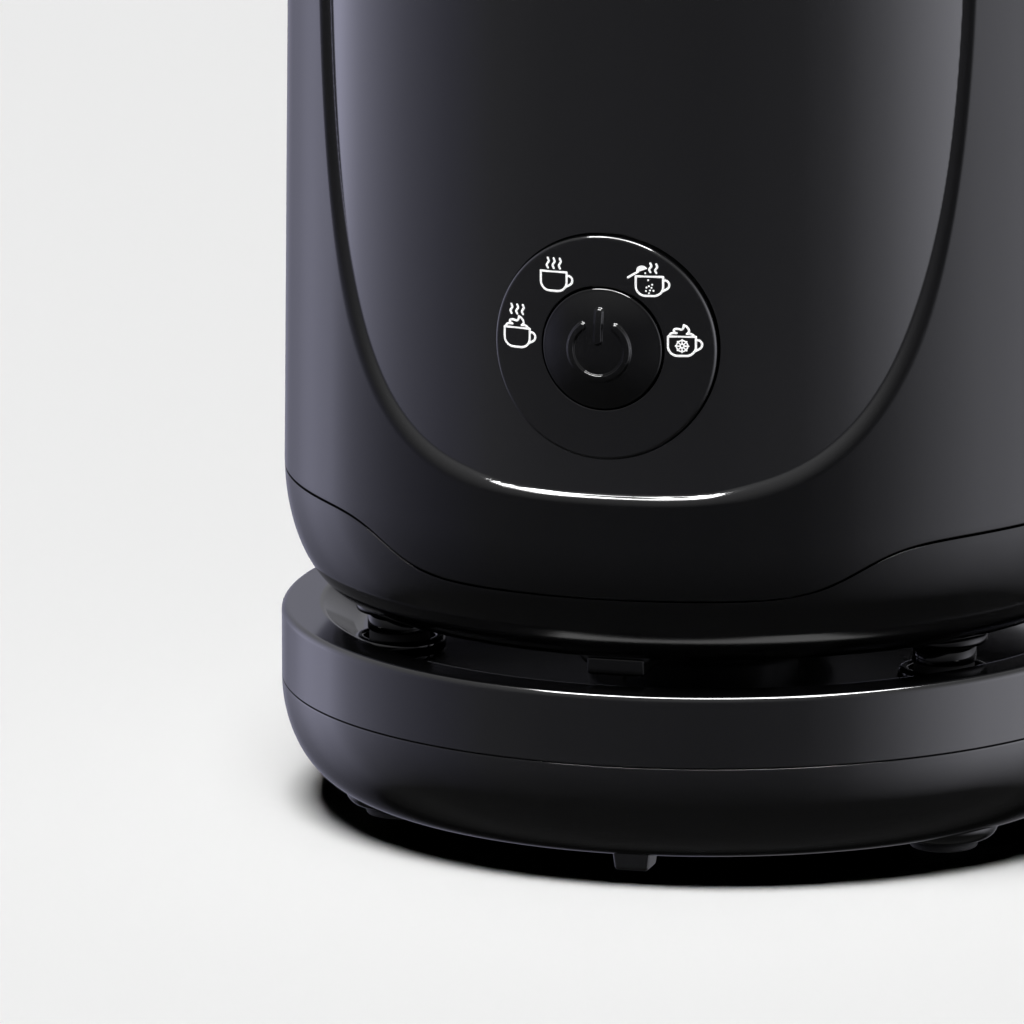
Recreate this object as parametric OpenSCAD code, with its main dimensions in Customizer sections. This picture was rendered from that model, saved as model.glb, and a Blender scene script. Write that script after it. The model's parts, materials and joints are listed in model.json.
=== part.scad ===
/* Milk frother: a lift-off heated jug with a whisk on a corded power base.
   Origin on the base's axis at the table, +Z up, controls and spout towards -Y, handle towards +Y. */

/* [Power base] */
// Outside radius of the power base
base_r = 60; // [58:0.5:64]
// Height of the base's rim above the table
base_rim_z = 27.6; // [26.8:0.1:28.2]
// Height of the seam between the base's two covers
base_seam_z = 17.5; // [16:0.1:18.5]
// Width of the flat rim around the tray
rim_w = 5.7; // [4:0.1:7]
// Height of the tray floor
tray_z = 24; // [23.6:0.1:24.4]
// Wall of the moulded covers
wall = 2.4; // [2:0.1:2.6]

/* [Feet] */
// Distance of each foot from the axis
foot_r = 45; // [43:0.5:46]
// Radius of the base's rubber pads
base_pad_r = 4.7; // [4:0.1:5.5]
// Radius of the jug's foot stems
jug_stem_r = 4.45; // [4.2:0.05:4.8]

/* [Jug] */
// Outside radius where the jug's wall begins
jug_r = 59.5; // [58.5:0.1:60]
// Outside radius at the top of the jug's wall
jug_top_r = 58.3; // [57.5:0.1:59]
// Height of the jug's underside
jug_base_z = 30.7; // [30.4:0.1:31]
// Height of the top of the jug's wall
jug_top_z = 160; // [156:1:166]
// Seam height between the jug's shells at the front
seam_front_z = 40.6; // [39:0.1:42]
// Seam height between the jug's shells round the sides and back
seam_side_z = 47.5; // [46:0.1:48.2]

/* [Front panel] */
// Depth of the recessed front panel
panel_depth = 1.1; // [0.8:0.1:1.3]
// Half width of the panel, measured round the wall
panel_half_w = 54.7; // [48:0.1:56]
// Lowest point of the panel
panel_low_z = 54.6; // [52:0.1:58]
// Height at which the panel's sides become upright
panel_side_z = 172; // [165:1:174]
// Height of the controls' centre
ctrl_z = 75.9; // [74:0.1:78]
// Radius of the control ring
ring_r = 15.6; // [15:0.1:16]
// Radius of the power button
button_r = 8.4; // [8:0.1:8.6]

/* [Cup and whisk] */
// Inside radius of the steel cup
cup_r = 47; // [46.5:0.1:47]
// Height of the cup's floor
cup_floor_z = 66; // [65.8:0.1:66.4]
// Radius of the whisk's hub
whisk_r = 12.6; // [12:0.1:13]
// Turns in the whisk's coil
coil_turns = 24; // [16:1:30]

/* [Lid and handle] */
// Height of the closed lid's rim
lid_rim_z = 175; // [174:0.5:176]
// Width of the handle
handle_w = 22; // [20:1:26]
// How far the handle reaches from the axis
handle_reach = 100; // [97:1:104]

/* [Hidden] */
$fn = 96;
eps = 0.01;
play = 0.1;

// Feet: one at the back and one to each side of the front
foot_angles = [-60, 60, 180];

// Base
base_inner_r = base_r - wall;
base_flat_r = 50;
base_flat_z = 3;
rim_inner_r = base_r - rim_w;
tray_floor_r = 49.5;
tray_under_z = tray_z - 2;
foot_dome_r = 7.6;
foot_dome_z = 1.3;
post_r = 3.6;
screw_r = 1.5;
head_r = 2.8;
drain_y = -51.2;
drain_bore_r = 1.6;
gland_z = 11;
gland_bore_r = 3.1;
gland_neck_r = 4.6;
gland_angle = 150;
gland_in_r = 46.5;
gland_out_r = base_r + 0.05;
clamp_r = 38;
clamp_x = 9;

// Connector between base and jug
boss_r = 12;
boss_top_z = 36.5;
pin_r = 1.6;
blade_r = [5.9, 9.2];
blade_w = 0.6;
slot_gap = 0.5;
tail_x = [0, blade_r[0] + blade_w / 2, -blade_r[1] - blade_w / 2];
tail_r = 0.5;

// Jug
jug_flat_r = 50.5;
jug_curve_z = 48.5;
jug_wall = 2.6;
seam_gap = 0.3;
seam_from = 22.4;
seam_to = 46.7;
seam_r = 59;
panel_power = 3.37;
boss_low_z = 36;
bracket_z = 55.5;
connector_r = 16.5;

// Controls, as depths in front of the jug's axis
ring_face = 59.6;
ring_back = 55;
ring_ledge = 57.4;
button_edge = 60;
button_dome = 1.7;
button_back = 56.2;
button_flange_r = 9.3;
switch_face = 55.2;
board_face = 52.7;
board_t = 1.2;
icon_r = 11.9;
icon_angles = [168, 125, 55, 5];

// Cup, drive and heater
cup_wall = 0.8;
cup_corner = 8;
cup_lip_z = 169;
cup_lip_r = 51.6;
shaft_r = 1.5;
spindle_r = 1.6;
magnet_ring_r = 10;
carrier_r = 18.5;
carrier_z = 59.4;
carrier_h = 4.6;
plate_in_r = 21;
plate_out_r = 38;
plate_h = 3;
motor_r = 15;
motor_z = 43;

// Handle, as a loop of an outer shell and an inner grip
handle_low_z = 70;
handle_h = 82;
handle_corner = 22;
handle_shell_t = 8;
handle_grip_t = 5;
handle_screw_z = [handle_low_z + handle_shell_t / 2, handle_low_z + handle_h - handle_shell_t / 2];

// Lid
lid_r = 51.2;
neck_r = 18;
neck_top_z = 184.5;
window_r = 44.5;
plug_r = 46.6;
cap_r = 20.6;
cap_plug_z = 179;

// ---------- shared shapes ----------

function smooth(t) = let (u = max(0, min(1, t))) u * u * (3 - 2 * u);
function seam_z(a) =
  seam_front_z + (seam_side_z - seam_front_z) * smooth((abs(a) - seam_from) / (seam_to - seam_from));
function arc(cr, cz, ar, az, from, to, steps) =
  [for (i = [0:steps]) let (t = from + (to - from) * i / steps) [cr + ar * cos(t), cz + az * sin(t)]];

module at_feet() for (a = foot_angles) rotate([0, 0, a]) translate([0, -foot_r, 0]) children();

module tube(r_out, r_in, z_low, z_high)
  difference() {
    translate([0, 0, z_low]) cylinder(r = r_out, h = z_high - z_low);
    translate([0, 0, z_low - 1]) cylinder(r = r_in, h = z_high - z_low + 2);
  }

module rod(r, z_low, z_high) translate([0, 0, z_low]) cylinder(r = r, h = z_high - z_low);

// A disc on the controls' axis, from depth `outer` in front of the jug's axis back to `inner`
module front_disc(r, outer, inner)
  translate([0, -outer, ctrl_z]) rotate([-90, 0, 0]) cylinder(r = r, h = outer - inner);

// A pan-head screw, its head's underside at the origin and its shank upwards
module screw(shank, r = screw_r, head = head_r, head_h = 2) {
  rod(r, 0, shank);
  rod(head, -head_h, 0);
}

// The cord gland's axis, outwards from radius `r`
module gland_axis(r)
  rotate([0, 0, gland_angle]) translate([0, -r, gland_z]) rotate([90, 0, 0]) children();

module at_clamp()
  rotate([0, 0, gland_angle]) for (x = [-clamp_x, clamp_x]) translate([x, -clamp_r, 0]) children();

module upright_at(r, angle) rotate([0, 0, angle]) translate([0, -r, 0]) children();

// ---------- power base ----------

module base_top_cover()
  color([0.10, 0.10, 0.11]) {
    difference() {
      rotate_extrude()
        polygon(concat(
          [[base_inner_r, base_seam_z], [base_r, base_seam_z]],
          arc(base_r - 1, base_rim_z - 1, 1, 1, 0, 90, 6),
          [[rim_inner_r, base_rim_z]],
          arc(rim_inner_r, base_rim_z - 1.8, 1, 1.8, 90, 180, 5),
          arc(tray_floor_r, tray_z + 1.8, rim_inner_r - 1 - tray_floor_r, -1.8, 0, 90, 6),
          [[boss_r + 4, tray_z], [boss_r + 4, tray_z + 2.6], [boss_r + 2.4, tray_z + 2.6],
           [boss_r + 2.4, tray_z], [boss_r + 0.2, tray_z], [boss_r + 0.2, tray_under_z],
           [tray_floor_r, tray_under_z], [base_inner_r - 3.4, base_rim_z - 2.6],
           [base_inner_r, base_rim_z - 4]]));
      translate([0, drain_y + 5, tray_under_z - 1]) cylinder(r = drain_bore_r, h = 4);
    }
    at_feet() tube(6.4, jug_stem_r + 0.45, tray_z - eps, tray_z + 2.1);
    at_feet() tube(post_r, screw_r, 8, tray_under_z + eps);
    translate([0, drain_y + 5, 0]) tube(2.8, drain_bore_r, 6.5, tray_under_z + eps);
    for (a = [90, 210, 330]) upright_at(16.4, a) tube(2.4, 1.1, 17, tray_under_z + eps);
    at_clamp() tube(2.6, 1.1, 15.4, tray_under_z + eps);
  }

module base_bottom_cover()
  color([0.11, 0.11, 0.12])
    difference() {
      union() {
        rotate_extrude()
          polygon(concat(
            [[0, base_flat_z]],
            arc(base_flat_r, base_seam_z, base_r - base_flat_r, base_seam_z - base_flat_z, -90, 0, 14),
            arc(base_flat_r, base_seam_z, base_inner_r - base_flat_r,
                base_seam_z - base_flat_z - wall, 0, -90, 14),
            [[0, base_flat_z + wall]]));
        at_feet() translate([0, 0, foot_dome_z]) cylinder(r1 = foot_dome_r - 1.2, r2 = foot_dome_r, h = 2);
        at_feet() rod(post_r, base_flat_z, 8);
        translate([0, drain_y + 5, 0]) tube(4, 2.9, base_flat_z + wall - eps, 9);
        hull() {
          translate([-2.7, drain_y - 2.2, 0.3]) cube([5.4, 7.4, eps]);
          translate([-3.25, drain_y - 3, 4]) cube([6.5, 10, eps]);
        }
      }
      at_feet() rod(screw_r + 0.1, 0, 20);
      at_feet() rod(head_r + 0.3, 0, 5);
      translate([0, drain_y + 5, -1]) cylinder(r = drain_bore_r + 0.4, h = 12);
      gland_axis(49.5) cylinder(r = gland_neck_r + 0.05, h = 20);
    }

module base_connector()
  color([0.16, 0.16, 0.17])
    difference() {
      union() {
        rod(boss_r, 14, boss_top_z);
        rod(boss_r + 2, 14, 17);
        rod(boss_r + 1, 14, tray_under_z);
        for (a = [90, 210, 330]) upright_at(16.4, a) rod(3, 14.5, 17);
        for (a = [90, 210, 330]) upright_at(14, a) translate([-3, -2.4, 14.5]) cube([6, 4.8, 2.5]);
      }
      rod(pin_r + slot_gap + 0.3, 18, boss_top_z + 1);
      for (r = blade_r) tube(r + blade_w + slot_gap, r - slot_gap, 18, boss_top_z + 1);
      for (a = [90, 210, 330]) upright_at(16.4, a) rod(1.3, 14, 18);
      for (x = tail_x) translate([x, 0, 13]) rod(tail_r + 0.05, 0, 6);
    }

module base_contacts()
  color([0.80, 0.63, 0.30]) {
    rod(pin_r + 0.4, 18, 26.4);
    for (r = blade_r) tube(r + blade_w + 0.1, r - 0.1, 18, 26.8);
    for (x = tail_x) translate([x, 0, 0]) rod(tail_r, 9.5, 18 + eps);
  }

module base_foot_pads()
  color([0.07, 0.07, 0.07])
    at_feet() {
      rod(base_pad_r, 0, foot_dome_z);
      rod(head_r + 0.1, foot_dome_z - eps, 2.6);
    }

module base_screws() color([0.62, 0.63, 0.65]) at_feet() translate([0, 0, 5]) screw(12);

module cord_gland()
  color([0.08, 0.08, 0.08])
    difference() {
      union() {
        gland_axis(gland_in_r) cylinder(r = gland_neck_r, h = gland_out_r - gland_in_r + eps);
        gland_axis(47.8) cylinder(r = gland_neck_r + 0.9, h = 1.6);
        gland_axis(gland_out_r) cylinder(r1 = gland_neck_r + 1.3, r2 = gland_neck_r - 0.4, h = 6);
      }
      gland_axis(gland_in_r - 1) cylinder(r = gland_bore_r, h = 24);
    }

module cord_clamp()
  color([0.20, 0.20, 0.21])
    difference() {
      rotate([0, 0, gland_angle]) translate([-12, -clamp_r - 3.4, 12.6]) cube([24, 6.8, 2.8]);
      at_clamp() rod(1.35, 12, 16);
      translate([0, 0, -0.6]) gland_axis(30) cylinder(r = 3, h = 15);
    }

module clamp_screws()
  color([0.62, 0.63, 0.65]) at_clamp() translate([0, 0, 12.6]) screw(7.5, 1.1, 2.3, 1.5);

module base_connector_screws()
  color([0.62, 0.63, 0.65])
    for (a = [90, 210, 330]) upright_at(16.4, a) translate([0, 0, 14.5]) screw(6, 1.1, 2.3, 1.5);

// ---------- jug: shells ----------

module jug_envelope(inset, top)
  rotate_extrude()
    polygon(concat(
      [[0, jug_base_z + inset]],
      arc(jug_flat_r, jug_curve_z, jug_r - inset - jug_flat_r, jug_curve_z - jug_base_z - inset, -90, 0, 16),
      [[jug_top_r - inset, jug_top_z], [jug_top_r - inset, top], [0, top]]));

// Everything below the seam, lowered by `drop`
module below_seam(drop) {
  rotate([90, 0, 0]) linear_extrude(80)
    polygon(concat(
      [[90, 0], [90, seam_side_z - drop]],
      [for (i = [40:-1:0])
        let (a = seam_to * (i / 20 - 1)) [seam_r * sin(a), seam_z(a) - drop]],
      [[-90, seam_side_z - drop], [-90, 0]]));
  translate([-90, -eps, 0]) cube([180, 80, seam_side_z - drop]);
}

module lug()
  difference() {
    union() {
      translate([-4.05, -52.4, 28.5]) cube([8.1, 9, 4]);
      hull() {
        translate([-4.9, -52, 29.6]) cube([9.8, 8, eps]);
        translate([-6.8, -51.2, 31.4]) cube([13.6, 7, eps]);
      }
    }
    translate([-3, -45, 28]) cube([6, 3, 1.6]);
  }

module jug_lower_shell()
  color([0.10, 0.10, 0.11])
    difference() {
      union() {
        intersection() {
          difference() {
            jug_envelope(0, jug_top_z);
            jug_envelope(wall, jug_top_z + 1);
          }
          below_seam(seam_gap / 2);
        }
        at_feet() rod(6, 29, jug_base_z + 1);
        at_feet() rod(jug_stem_r, 26.2, 30);
        for (x = [-22, 22]) translate([x, 26, 0]) rod(3, jug_base_z + 1, 43.9);
        for (a = [30, 150, 270]) upright_at(21.4, a) rod(2.6, jug_base_z + 1, 36.2);
        lug();
      }
      rod(connector_r + play, 20, 50);
      at_feet() rod(screw_r + 0.1, 20, 36);
      at_feet() rod(head_r + 0.3, 20, 30.4);
      for (x = [-22, 22]) translate([x, 26, 0]) rod(1.1, 34, 45);
      for (a = [30, 150, 270]) upright_at(21.4, a) rod(1.1, 32, 40);
    }

module jug_foot_pads()
  color([0.07, 0.07, 0.07])
    at_feet() {
      rod(jug_stem_r - 0.25, tray_z, 26.2);
      rod(head_r + 0.1, 26.2 - eps, 28);
    }

module jug_screws() color([0.62, 0.63, 0.65]) at_feet() translate([0, 0, 30.4]) screw(15);

function panel_x(t) =
  let (w = panel_half_w * pow(abs(cos(t)), 2 / panel_power)) jug_r * sin(w / jug_r * 180 / PI);
function panel_z(t) = panel_side_z - (panel_side_z - panel_low_z) * pow(abs(sin(t)), 2 / panel_power);

// The panel's outline seen from the front: a rounded U, open at the top
module panel_cut()
  rotate([90, 0, 0]) linear_extrude(80)
    polygon(concat(
      [for (i = [0:24]) [panel_x(i * 3.75), panel_z(i * 3.75)]],
      [for (i = [23:-1:0]) [-panel_x(i * 3.75), panel_z(i * 3.75)]],
      [[-panel_x(0), jug_top_z + 20], [panel_x(0), jug_top_z + 20]]));

module jug_shell()
  color([0.10, 0.10, 0.11])
    difference() {
      union() {
        difference() {
          jug_envelope(0, jug_top_z);
          jug_envelope(jug_wall, jug_top_z + 1);
          below_seam(-seam_gap / 2);
          intersection() {
            difference() {
              translate([0, 0, 40]) cylinder(r = 70, h = 140);
              jug_envelope(panel_depth, jug_top_z + 10);
            }
            panel_cut();
          }
        }
        at_feet() rod(3.8, boss_low_z, bracket_z);
        intersection() {
          at_feet() translate([-1.2, -14, 50]) cube([2.4, 13, 5.5]);
          jug_envelope(1, jug_top_z);
        }
      }
      at_feet() rod(screw_r, boss_low_z - 1, 46);
      at_feet() rod(1.1, 48, bracket_z + 1);
      front_disc(ring_r + 0.05, 70, 50);
      handle_bores(screw_r + 0.2);
    }

// ---------- jug: connector ----------

module jug_connector()
  color([0.16, 0.16, 0.17])
    difference() {
      union() {
        rod(connector_r, jug_base_z, 41.5);
        for (a = [30, 150, 270]) upright_at(21.4, a) rod(2.8, 36.2, 38.2);
        for (a = [30, 150, 270]) upright_at(18, a) translate([-2.8, -3, 36.2]) cube([5.6, 6, 2]);
      }
      rod(boss_r + 0.5, 30, 37.3);
      rod(pin_r, 36, 43);
      for (r = blade_r) tube(r + blade_w, r, 36, 40);
      for (a = [30, 150, 270]) upright_at(21.4, a) rod(1.3, 36, 39);
    }

module jug_contacts()
  color([0.80, 0.63, 0.30]) {
    rod(pin_r, 27, 42.4);
    for (r = blade_r) tube(r + blade_w, r, 27.4, 40);
  }

module jug_connector_screws()
  color([0.62, 0.63, 0.65])
    for (a = [30, 150, 270]) upright_at(21.4, a) translate([0, 0, 38.2]) mirror([0, 0, 1]) screw(5, 1.1, 2.3, 1.5);

// ---------- jug: collar and cup ----------

// The spout's outline from above
module spout_plan(grow)
  hull() {
    translate([0, -63 - grow]) circle(r = 3, $fn = 32);
    translate([-12 - grow, -52]) square([24 + 2 * grow, 4]);
  }

module rim_collar()
  color([0.11, 0.11, 0.12])
    difference() {
      union() {
        tube(jug_top_r, 48.2, jug_top_z, lid_rim_z);
        tube(jug_top_r - jug_wall - play, 53.4, jug_top_z - 8, jug_top_z + eps);
        hull() {
          translate([0, 0, lid_rim_z - 3]) linear_extrude(3) spout_plan(0);
          translate([-5, -57, jug_top_z]) cube([10, 4, 1]);
        }
      }
      rod(cup_lip_r + 0.2, 168.2, 190);
      rod(48.2, 150, 190);
      rod(53.4, 150, 164.5);
      intersection() {
        translate([0, 0, 169.8]) linear_extrude(20) spout_plan(-2.2);
        translate([-40, -80, 160]) cube([80, 32, 40]);
      }
    }

module inner_cup()
  color([0.72, 0.72, 0.73])
    rotate_extrude()
      polygon(concat(
        [[0, cup_floor_z - cup_wall]],
        arc(cup_r - cup_corner, cup_floor_z + cup_corner, cup_corner + cup_wall,
            cup_corner + cup_wall, -90, 0, 10),
        [[cup_r + cup_wall, cup_lip_z], [cup_lip_r, cup_lip_z], [cup_lip_r, cup_lip_z + cup_wall],
         [cup_r, cup_lip_z + cup_wall]],
        arc(cup_r - cup_corner, cup_floor_z + cup_corner, cup_corner, cup_corner, 0, -90, 10),
        [[0, cup_floor_z]]));

module cup_gasket() color([0.25, 0.25, 0.26]) tube(51.4, 48.6, 168.2, cup_lip_z);

module whisk_spindle()
  color([0.72, 0.72, 0.73]) {
    rod(spindle_r, cup_floor_z, cup_floor_z + 12);
    rod(3, cup_floor_z, cup_floor_z + 0.8);
  }

// ---------- jug: heater ----------

module heater_plate() color([0.75, 0.76, 0.78])
  tube(plate_out_r, plate_in_r, cup_floor_z - cup_wall - plate_h, cup_floor_z - cup_wall);

module heater_element()
  color([0.45, 0.43, 0.42]) {
    rotate([0, 0, -70]) rotate_extrude(angle = 320)
      translate([27.5, 58.2]) square([5, 4]);
    for (a = [-82, -98]) rotate([0, 0, a]) translate([30, 0, 0]) rod(1.2, 52.4, 58.2);
    for (a = [-82, -98]) rotate([0, 0, a]) translate([30, 0, 60.2]) cube([4, 3, 4], center = true);
  }

module temperature_sensor()
  color([0.70, 0.68, 0.60]) rotate([0, 0, 60]) translate([24.2, 0, 0]) {
    rod(2.4, 58.2, 62.2);
    for (x = [-1, 1]) translate([x, 0, 0]) rod(0.35, 53, 58.3);
  }

module thermal_fuse()
  color([0.80, 0.80, 0.76])
    rotate([0, 0, 150]) translate([35.4, -6, 60.2]) rotate([-90, 0, 0]) {
      rod(1.9, 0, 12);
      rod(0.4, -4, 16);
    }

// ---------- jug: motor ----------

module motor_bracket()
  color([0.66, 0.67, 0.69])
    difference() {
      union() {
        rod(22, bracket_z, bracket_z + 1.5);
        for (a = foot_angles) rotate([0, 0, a]) translate([-5, -foot_r, bracket_z]) cube([10, foot_r, 1.5]);
        at_feet() rod(5, bracket_z, bracket_z + 1.5);
      }
      rod(4.2, 50, 60);
      at_feet() rod(1.4, 50, 60);
      for (a = [0, 180]) upright_at(10, a) rod(1.1, 50, 60);
      for (a = [45, 135, 225, 315]) upright_at(19.5, a) rod(2.5, 50, 60);
    }

module bracket_screws()
  color([0.62, 0.63, 0.65]) {
    at_feet() translate([0, 0, bracket_z + 1.5]) mirror([0, 0, 1]) screw(8, 1.1, 2.4, 1.5);
    for (a = [0, 180]) upright_at(10, a) translate([0, 0, bracket_z + 1.5]) mirror([0, 0, 1])
      screw(2.4, 1, 2, 0.9);
  }

module motor_can()
  color([0.74, 0.75, 0.77])
    difference() {
      union() {
        rod(motor_r, motor_z + 1.4, bracket_z);
        rod(4.1, bracket_z - eps, bracket_z + 1.5);
      }
      rod(motor_r - 0.8, motor_z, bracket_z - 1.2);
      rod(3, 50, 60);
      for (a = [0, 180]) upright_at(10, a) rod(1, 50, 60);
    }

module motor_end_cap()
  color([0.18, 0.18, 0.19])
    difference() {
      union() {
        rod(motor_r, motor_z, motor_z + 1.4);
        rod(5, motor_z - 0.8, motor_z + 0.2);
      }
      rod(3, motor_z - 2, motor_z + 3);
      for (a = [0, 180]) upright_at(11, a) translate([-1.5, -0.4, motor_z - 1]) cube([3, 0.8, 3]);
    }

module field_magnets()
  color([0.22, 0.22, 0.24])
    difference() {
      tube(motor_r - 0.8, 11.6, 45, 53.6);
      translate([-2, -20, 44]) cube([4, 40, 11]);
    }

module motor_bushes()
  color([0.74, 0.60, 0.38]) {
    tube(3, shaft_r + 0.06, motor_z - 0.6, motor_z + 1.4);
    tube(3, shaft_r + 0.06, bracket_z - 1.2, bracket_z + 1.5);
  }

module motor_shaft() color([0.72, 0.72, 0.73]) rod(shaft_r, motor_z - 0.4, 63);

module armature()
  color([0.70, 0.40, 0.22])
    difference() {
      union() {
        for (a = [0:60:300]) rotate([0, 0, a]) translate([2, -1.6, 46.4]) cube([6, 3.2, 5.8]);
        intersection() {
          tube(10.9, 7.6, 46.4, 52.2);
          for (a = [0:60:300]) rotate([0, 0, a]) translate([0, -4, 40]) cube([20, 8, 20]);
        }
        rod(3.4, 45.2, 53.4);
      }
      rod(shaft_r, 40, 60);
    }

module magnet_carrier()
  color([0.85, 0.84, 0.80])
    difference() {
      union() {
        rod(carrier_r, carrier_z + 1.6, carrier_z + carrier_h);
        rod(4.6, carrier_z - 1, carrier_z + carrier_h);
        for (a = [0:45:315]) rotate([0, 0, a]) translate([3, -0.8, carrier_z]) cube([14, 1.6, 2]);
      }
      rod(shaft_r, 50, 63);
      for (a = [45, 135, 225, 315]) upright_at(magnet_ring_r, a) rod(3, carrier_z + 2, 70);
    }

module drive_magnets()
  color([0.55, 0.56, 0.58])
    for (a = [45, 135, 225, 315]) upright_at(magnet_ring_r, a) rod(3, carrier_z + 2, carrier_z + carrier_h);

// ---------- jug: boards and controls ----------

module power_board()
  color([0.10, 0.32, 0.18]) {
    difference() {
      translate([-28, 19, 43.9]) cube([56, 21, 1.6]);
      for (x = [-22, 22]) translate([x, 26, 40]) rod(1.3, 0, 10);
      rod(connector_r + 1.5, 40, 50);
    }
    color([0.12, 0.12, 0.13]) {
      translate([-16, 30, 45.5]) cube([10, 8, 7]);
      translate([8, 29, 45.5]) cube([12, 9, 8]);
      translate([0, 34, 45.5 - eps]) rod(3.4, 0, 8.5);
      translate([-2, 24, 45.5]) cube([6, 5, 1.4]);
    }
  }

module power_board_screws()
  color([0.62, 0.63, 0.65])
    for (x = [-22, 22]) translate([x, 26, 45.5]) mirror([0, 0, 1]) screw(6, 1.1, 2.2, 1.5);

module control_ring()
  color([0.12, 0.12, 0.13])
    difference() {
      union() {
        intersection() {
          front_disc(ring_r, ring_face + 1, ring_back);
          rod(ring_face, ctrl_z - 20, ctrl_z + 20);
        }
        for (x = [-11, 11]) translate([x, 0, -9]) front_disc(2, ring_back + eps, board_face);
      }
      front_disc(button_r + 0.15, 70, 50);
      front_disc(button_flange_r + 0.3, ring_ledge, 50);
      for (x = [-11, 11]) translate([x, 0, -9]) front_disc(0.8, 57, 50);
    }

module mode_board()
  color([0.10, 0.32, 0.18])
    difference() {
      translate([-14, -board_face, ctrl_z - 14]) cube([28, board_t, 29]);
      for (x = [-11, 11]) translate([x, 0, -9]) front_disc(0.9, 60, 50);
    }

module mode_board_screws()
  color([0.62, 0.63, 0.65])
    for (x = [-11, 11]) translate([x, 0, -9]) {
      front_disc(0.8, 56.5, board_face - board_t);
      front_disc(1.7, board_face - board_t, board_face - board_t - 1.1);
    }

module mode_leds()
  color([0.92, 0.90, 0.82])
    for (a = icon_angles)
      translate([icon_r * cos(a) - 1, -board_face - 1.3, ctrl_z + icon_r * sin(a) - 1]) cube([2, 1.3, 2]);

module tact_switch()
  color([0.14, 0.14, 0.15])
    difference() {
      translate([-3, -switch_face, ctrl_z - 3]) cube([6, switch_face - board_face, 6]);
      front_disc(1.8, 60, 53.4);
    }

module power_button()
  color([0.08, 0.08, 0.09])
    difference() {
      union() {
        front_disc(button_r, button_edge - 0.3, button_back);
        front_disc(button_flange_r, ring_ledge - 0.2, button_back);
        translate([0, -button_edge + 0.3, ctrl_z]) rotate([90, 0, 0]) rotate_extrude()
          polygon(concat([[0, 0], [button_r, 0]], arc(0, 0.3, button_r - 0.3, button_dome, 0, 90, 12)));
      }
      front_disc(7, button_edge - 1.6, button_back + 1.2);
    }

module switch_plunger() color([0.90, 0.90, 0.88]) front_disc(1.7, button_back, 54.4);

// ---------- jug: handle ----------

module rounded_box2(w, h, r) {
  translate([r, 0]) square([w - 2 * r, h]);
  translate([0, r]) square([w, h - 2 * r]);
  for (x = [r, w - r], y = [r, h - r]) translate([x, y]) circle(r = r);
}

// Side view of the handle's loop: everything inside the outline, `inset` further in
module handle_side(inset)
  translate([50, handle_low_z + inset])
    rounded_box2(handle_reach - 50 - inset, handle_h - 2 * inset, handle_corner - inset);

module handle_slab(side_to_side)
  rotate([90, 0, 90]) linear_extrude(side_to_side, center = true) children();

module handle_bores(r)
  for (z = handle_screw_z) translate([0, 50, z]) rotate([-90, 0, 0]) cylinder(r = r, h = 20);

module handle_shell()
  color([0.10, 0.10, 0.11])
    difference() {
      handle_slab(handle_w) difference() {
        handle_side(0);
        handle_side(handle_shell_t);
      }
      jug_envelope(0, 200);
      handle_bores(screw_r);
    }

module handle_grip()
  color([0.14, 0.14, 0.15])
    difference() {
      handle_slab(handle_w - 1.2) difference() {
        handle_side(handle_shell_t);
        handle_side(handle_shell_t + handle_grip_t);
      }
      jug_envelope(0, 200);
      handle_bores(screw_r);
    }

module handle_screws()
  color([0.62, 0.63, 0.65])
    for (z = handle_screw_z) translate([0, 55.6, z]) rotate([-90, 0, 0]) screw(14, screw_r, 2.8, 2);

// ---------- whisk ----------

module whisk_hub()
  color([0.12, 0.12, 0.13])
    difference() {
      union() {
        rod(whisk_r, 67.2, 71.4);
        translate([0, 0, 71.4 - eps]) cylinder(r1 = 5.5, r2 = 3.4, h = 5);
        rod(3.4, 76, 81);
        rod(4.2, 80, 82);
      }
      rod(spindle_r + 0.08, 60, cup_floor_z + 12.6);
      rod(3.3, 60, 67.8);
      for (a = [45, 135, 225, 315]) upright_at(magnet_ring_r, a) rod(2, 60, 69.6);
    }

module whisk_magnets()
  color([0.55, 0.56, 0.58])
    for (a = [45, 135, 225, 315]) upright_at(magnet_ring_r, a) rod(2, 67.2, 69.6);

module whisk_coil()
  color([0.72, 0.72, 0.73]) {
    rotate_extrude() translate([whisk_r + 0.7, 69.6]) circle(r = 0.7, $fn = 24);
    for (i = [0:coil_turns - 1])
      rotate([0, 0, i * 360 / coil_turns]) translate([whisk_r + 3.4, 0, 69.9]) rotate([90, 0, 0])
        rotate_extrude() translate([2.6, 0]) circle(r = 0.4, $fn = 24);
  }

// ---------- lid ----------

function dome_z(r) = 183 - 10 * pow(r / 47, 2);

module lid_frame()
  color([0.11, 0.11, 0.12])
    rotate_extrude()
      polygon([
        [44, 163], [44, 172.2], [window_r + 0.05, 172.2], [window_r + 0.05, 175.4], [46.5, 176.4],
        [49.8, 176.2], [lid_r, lid_rim_z], [lid_r, cup_lip_z + 0.9], [plug_r, cup_lip_z + 0.9],
        [plug_r, 167.6], [plug_r - 1, 167.6], [plug_r - 1, 165.4], [plug_r, 165.4], [plug_r, 163]]);

module lid_window()
  color([0.30, 0.30, 0.33])
    rotate_extrude()
      polygon(concat(
        [for (i = [0:10]) let (r = window_r - i * (window_r - neck_r - 2) / 10) [r, dome_z(r)]],
        [[neck_r + 2, neck_top_z], [neck_r, neck_top_z], [neck_r, 168], [neck_r + 1.6, 168]],
        [for (i = [10:-1:0]) let (r = window_r - i * (window_r - neck_r - 1.6) / 10) [r, dome_z(r) - 1.8]]));

module lid_seal() color([0.30, 0.30, 0.31]) tube(46.95, 45.6, 165.5, 167.5);

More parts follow.
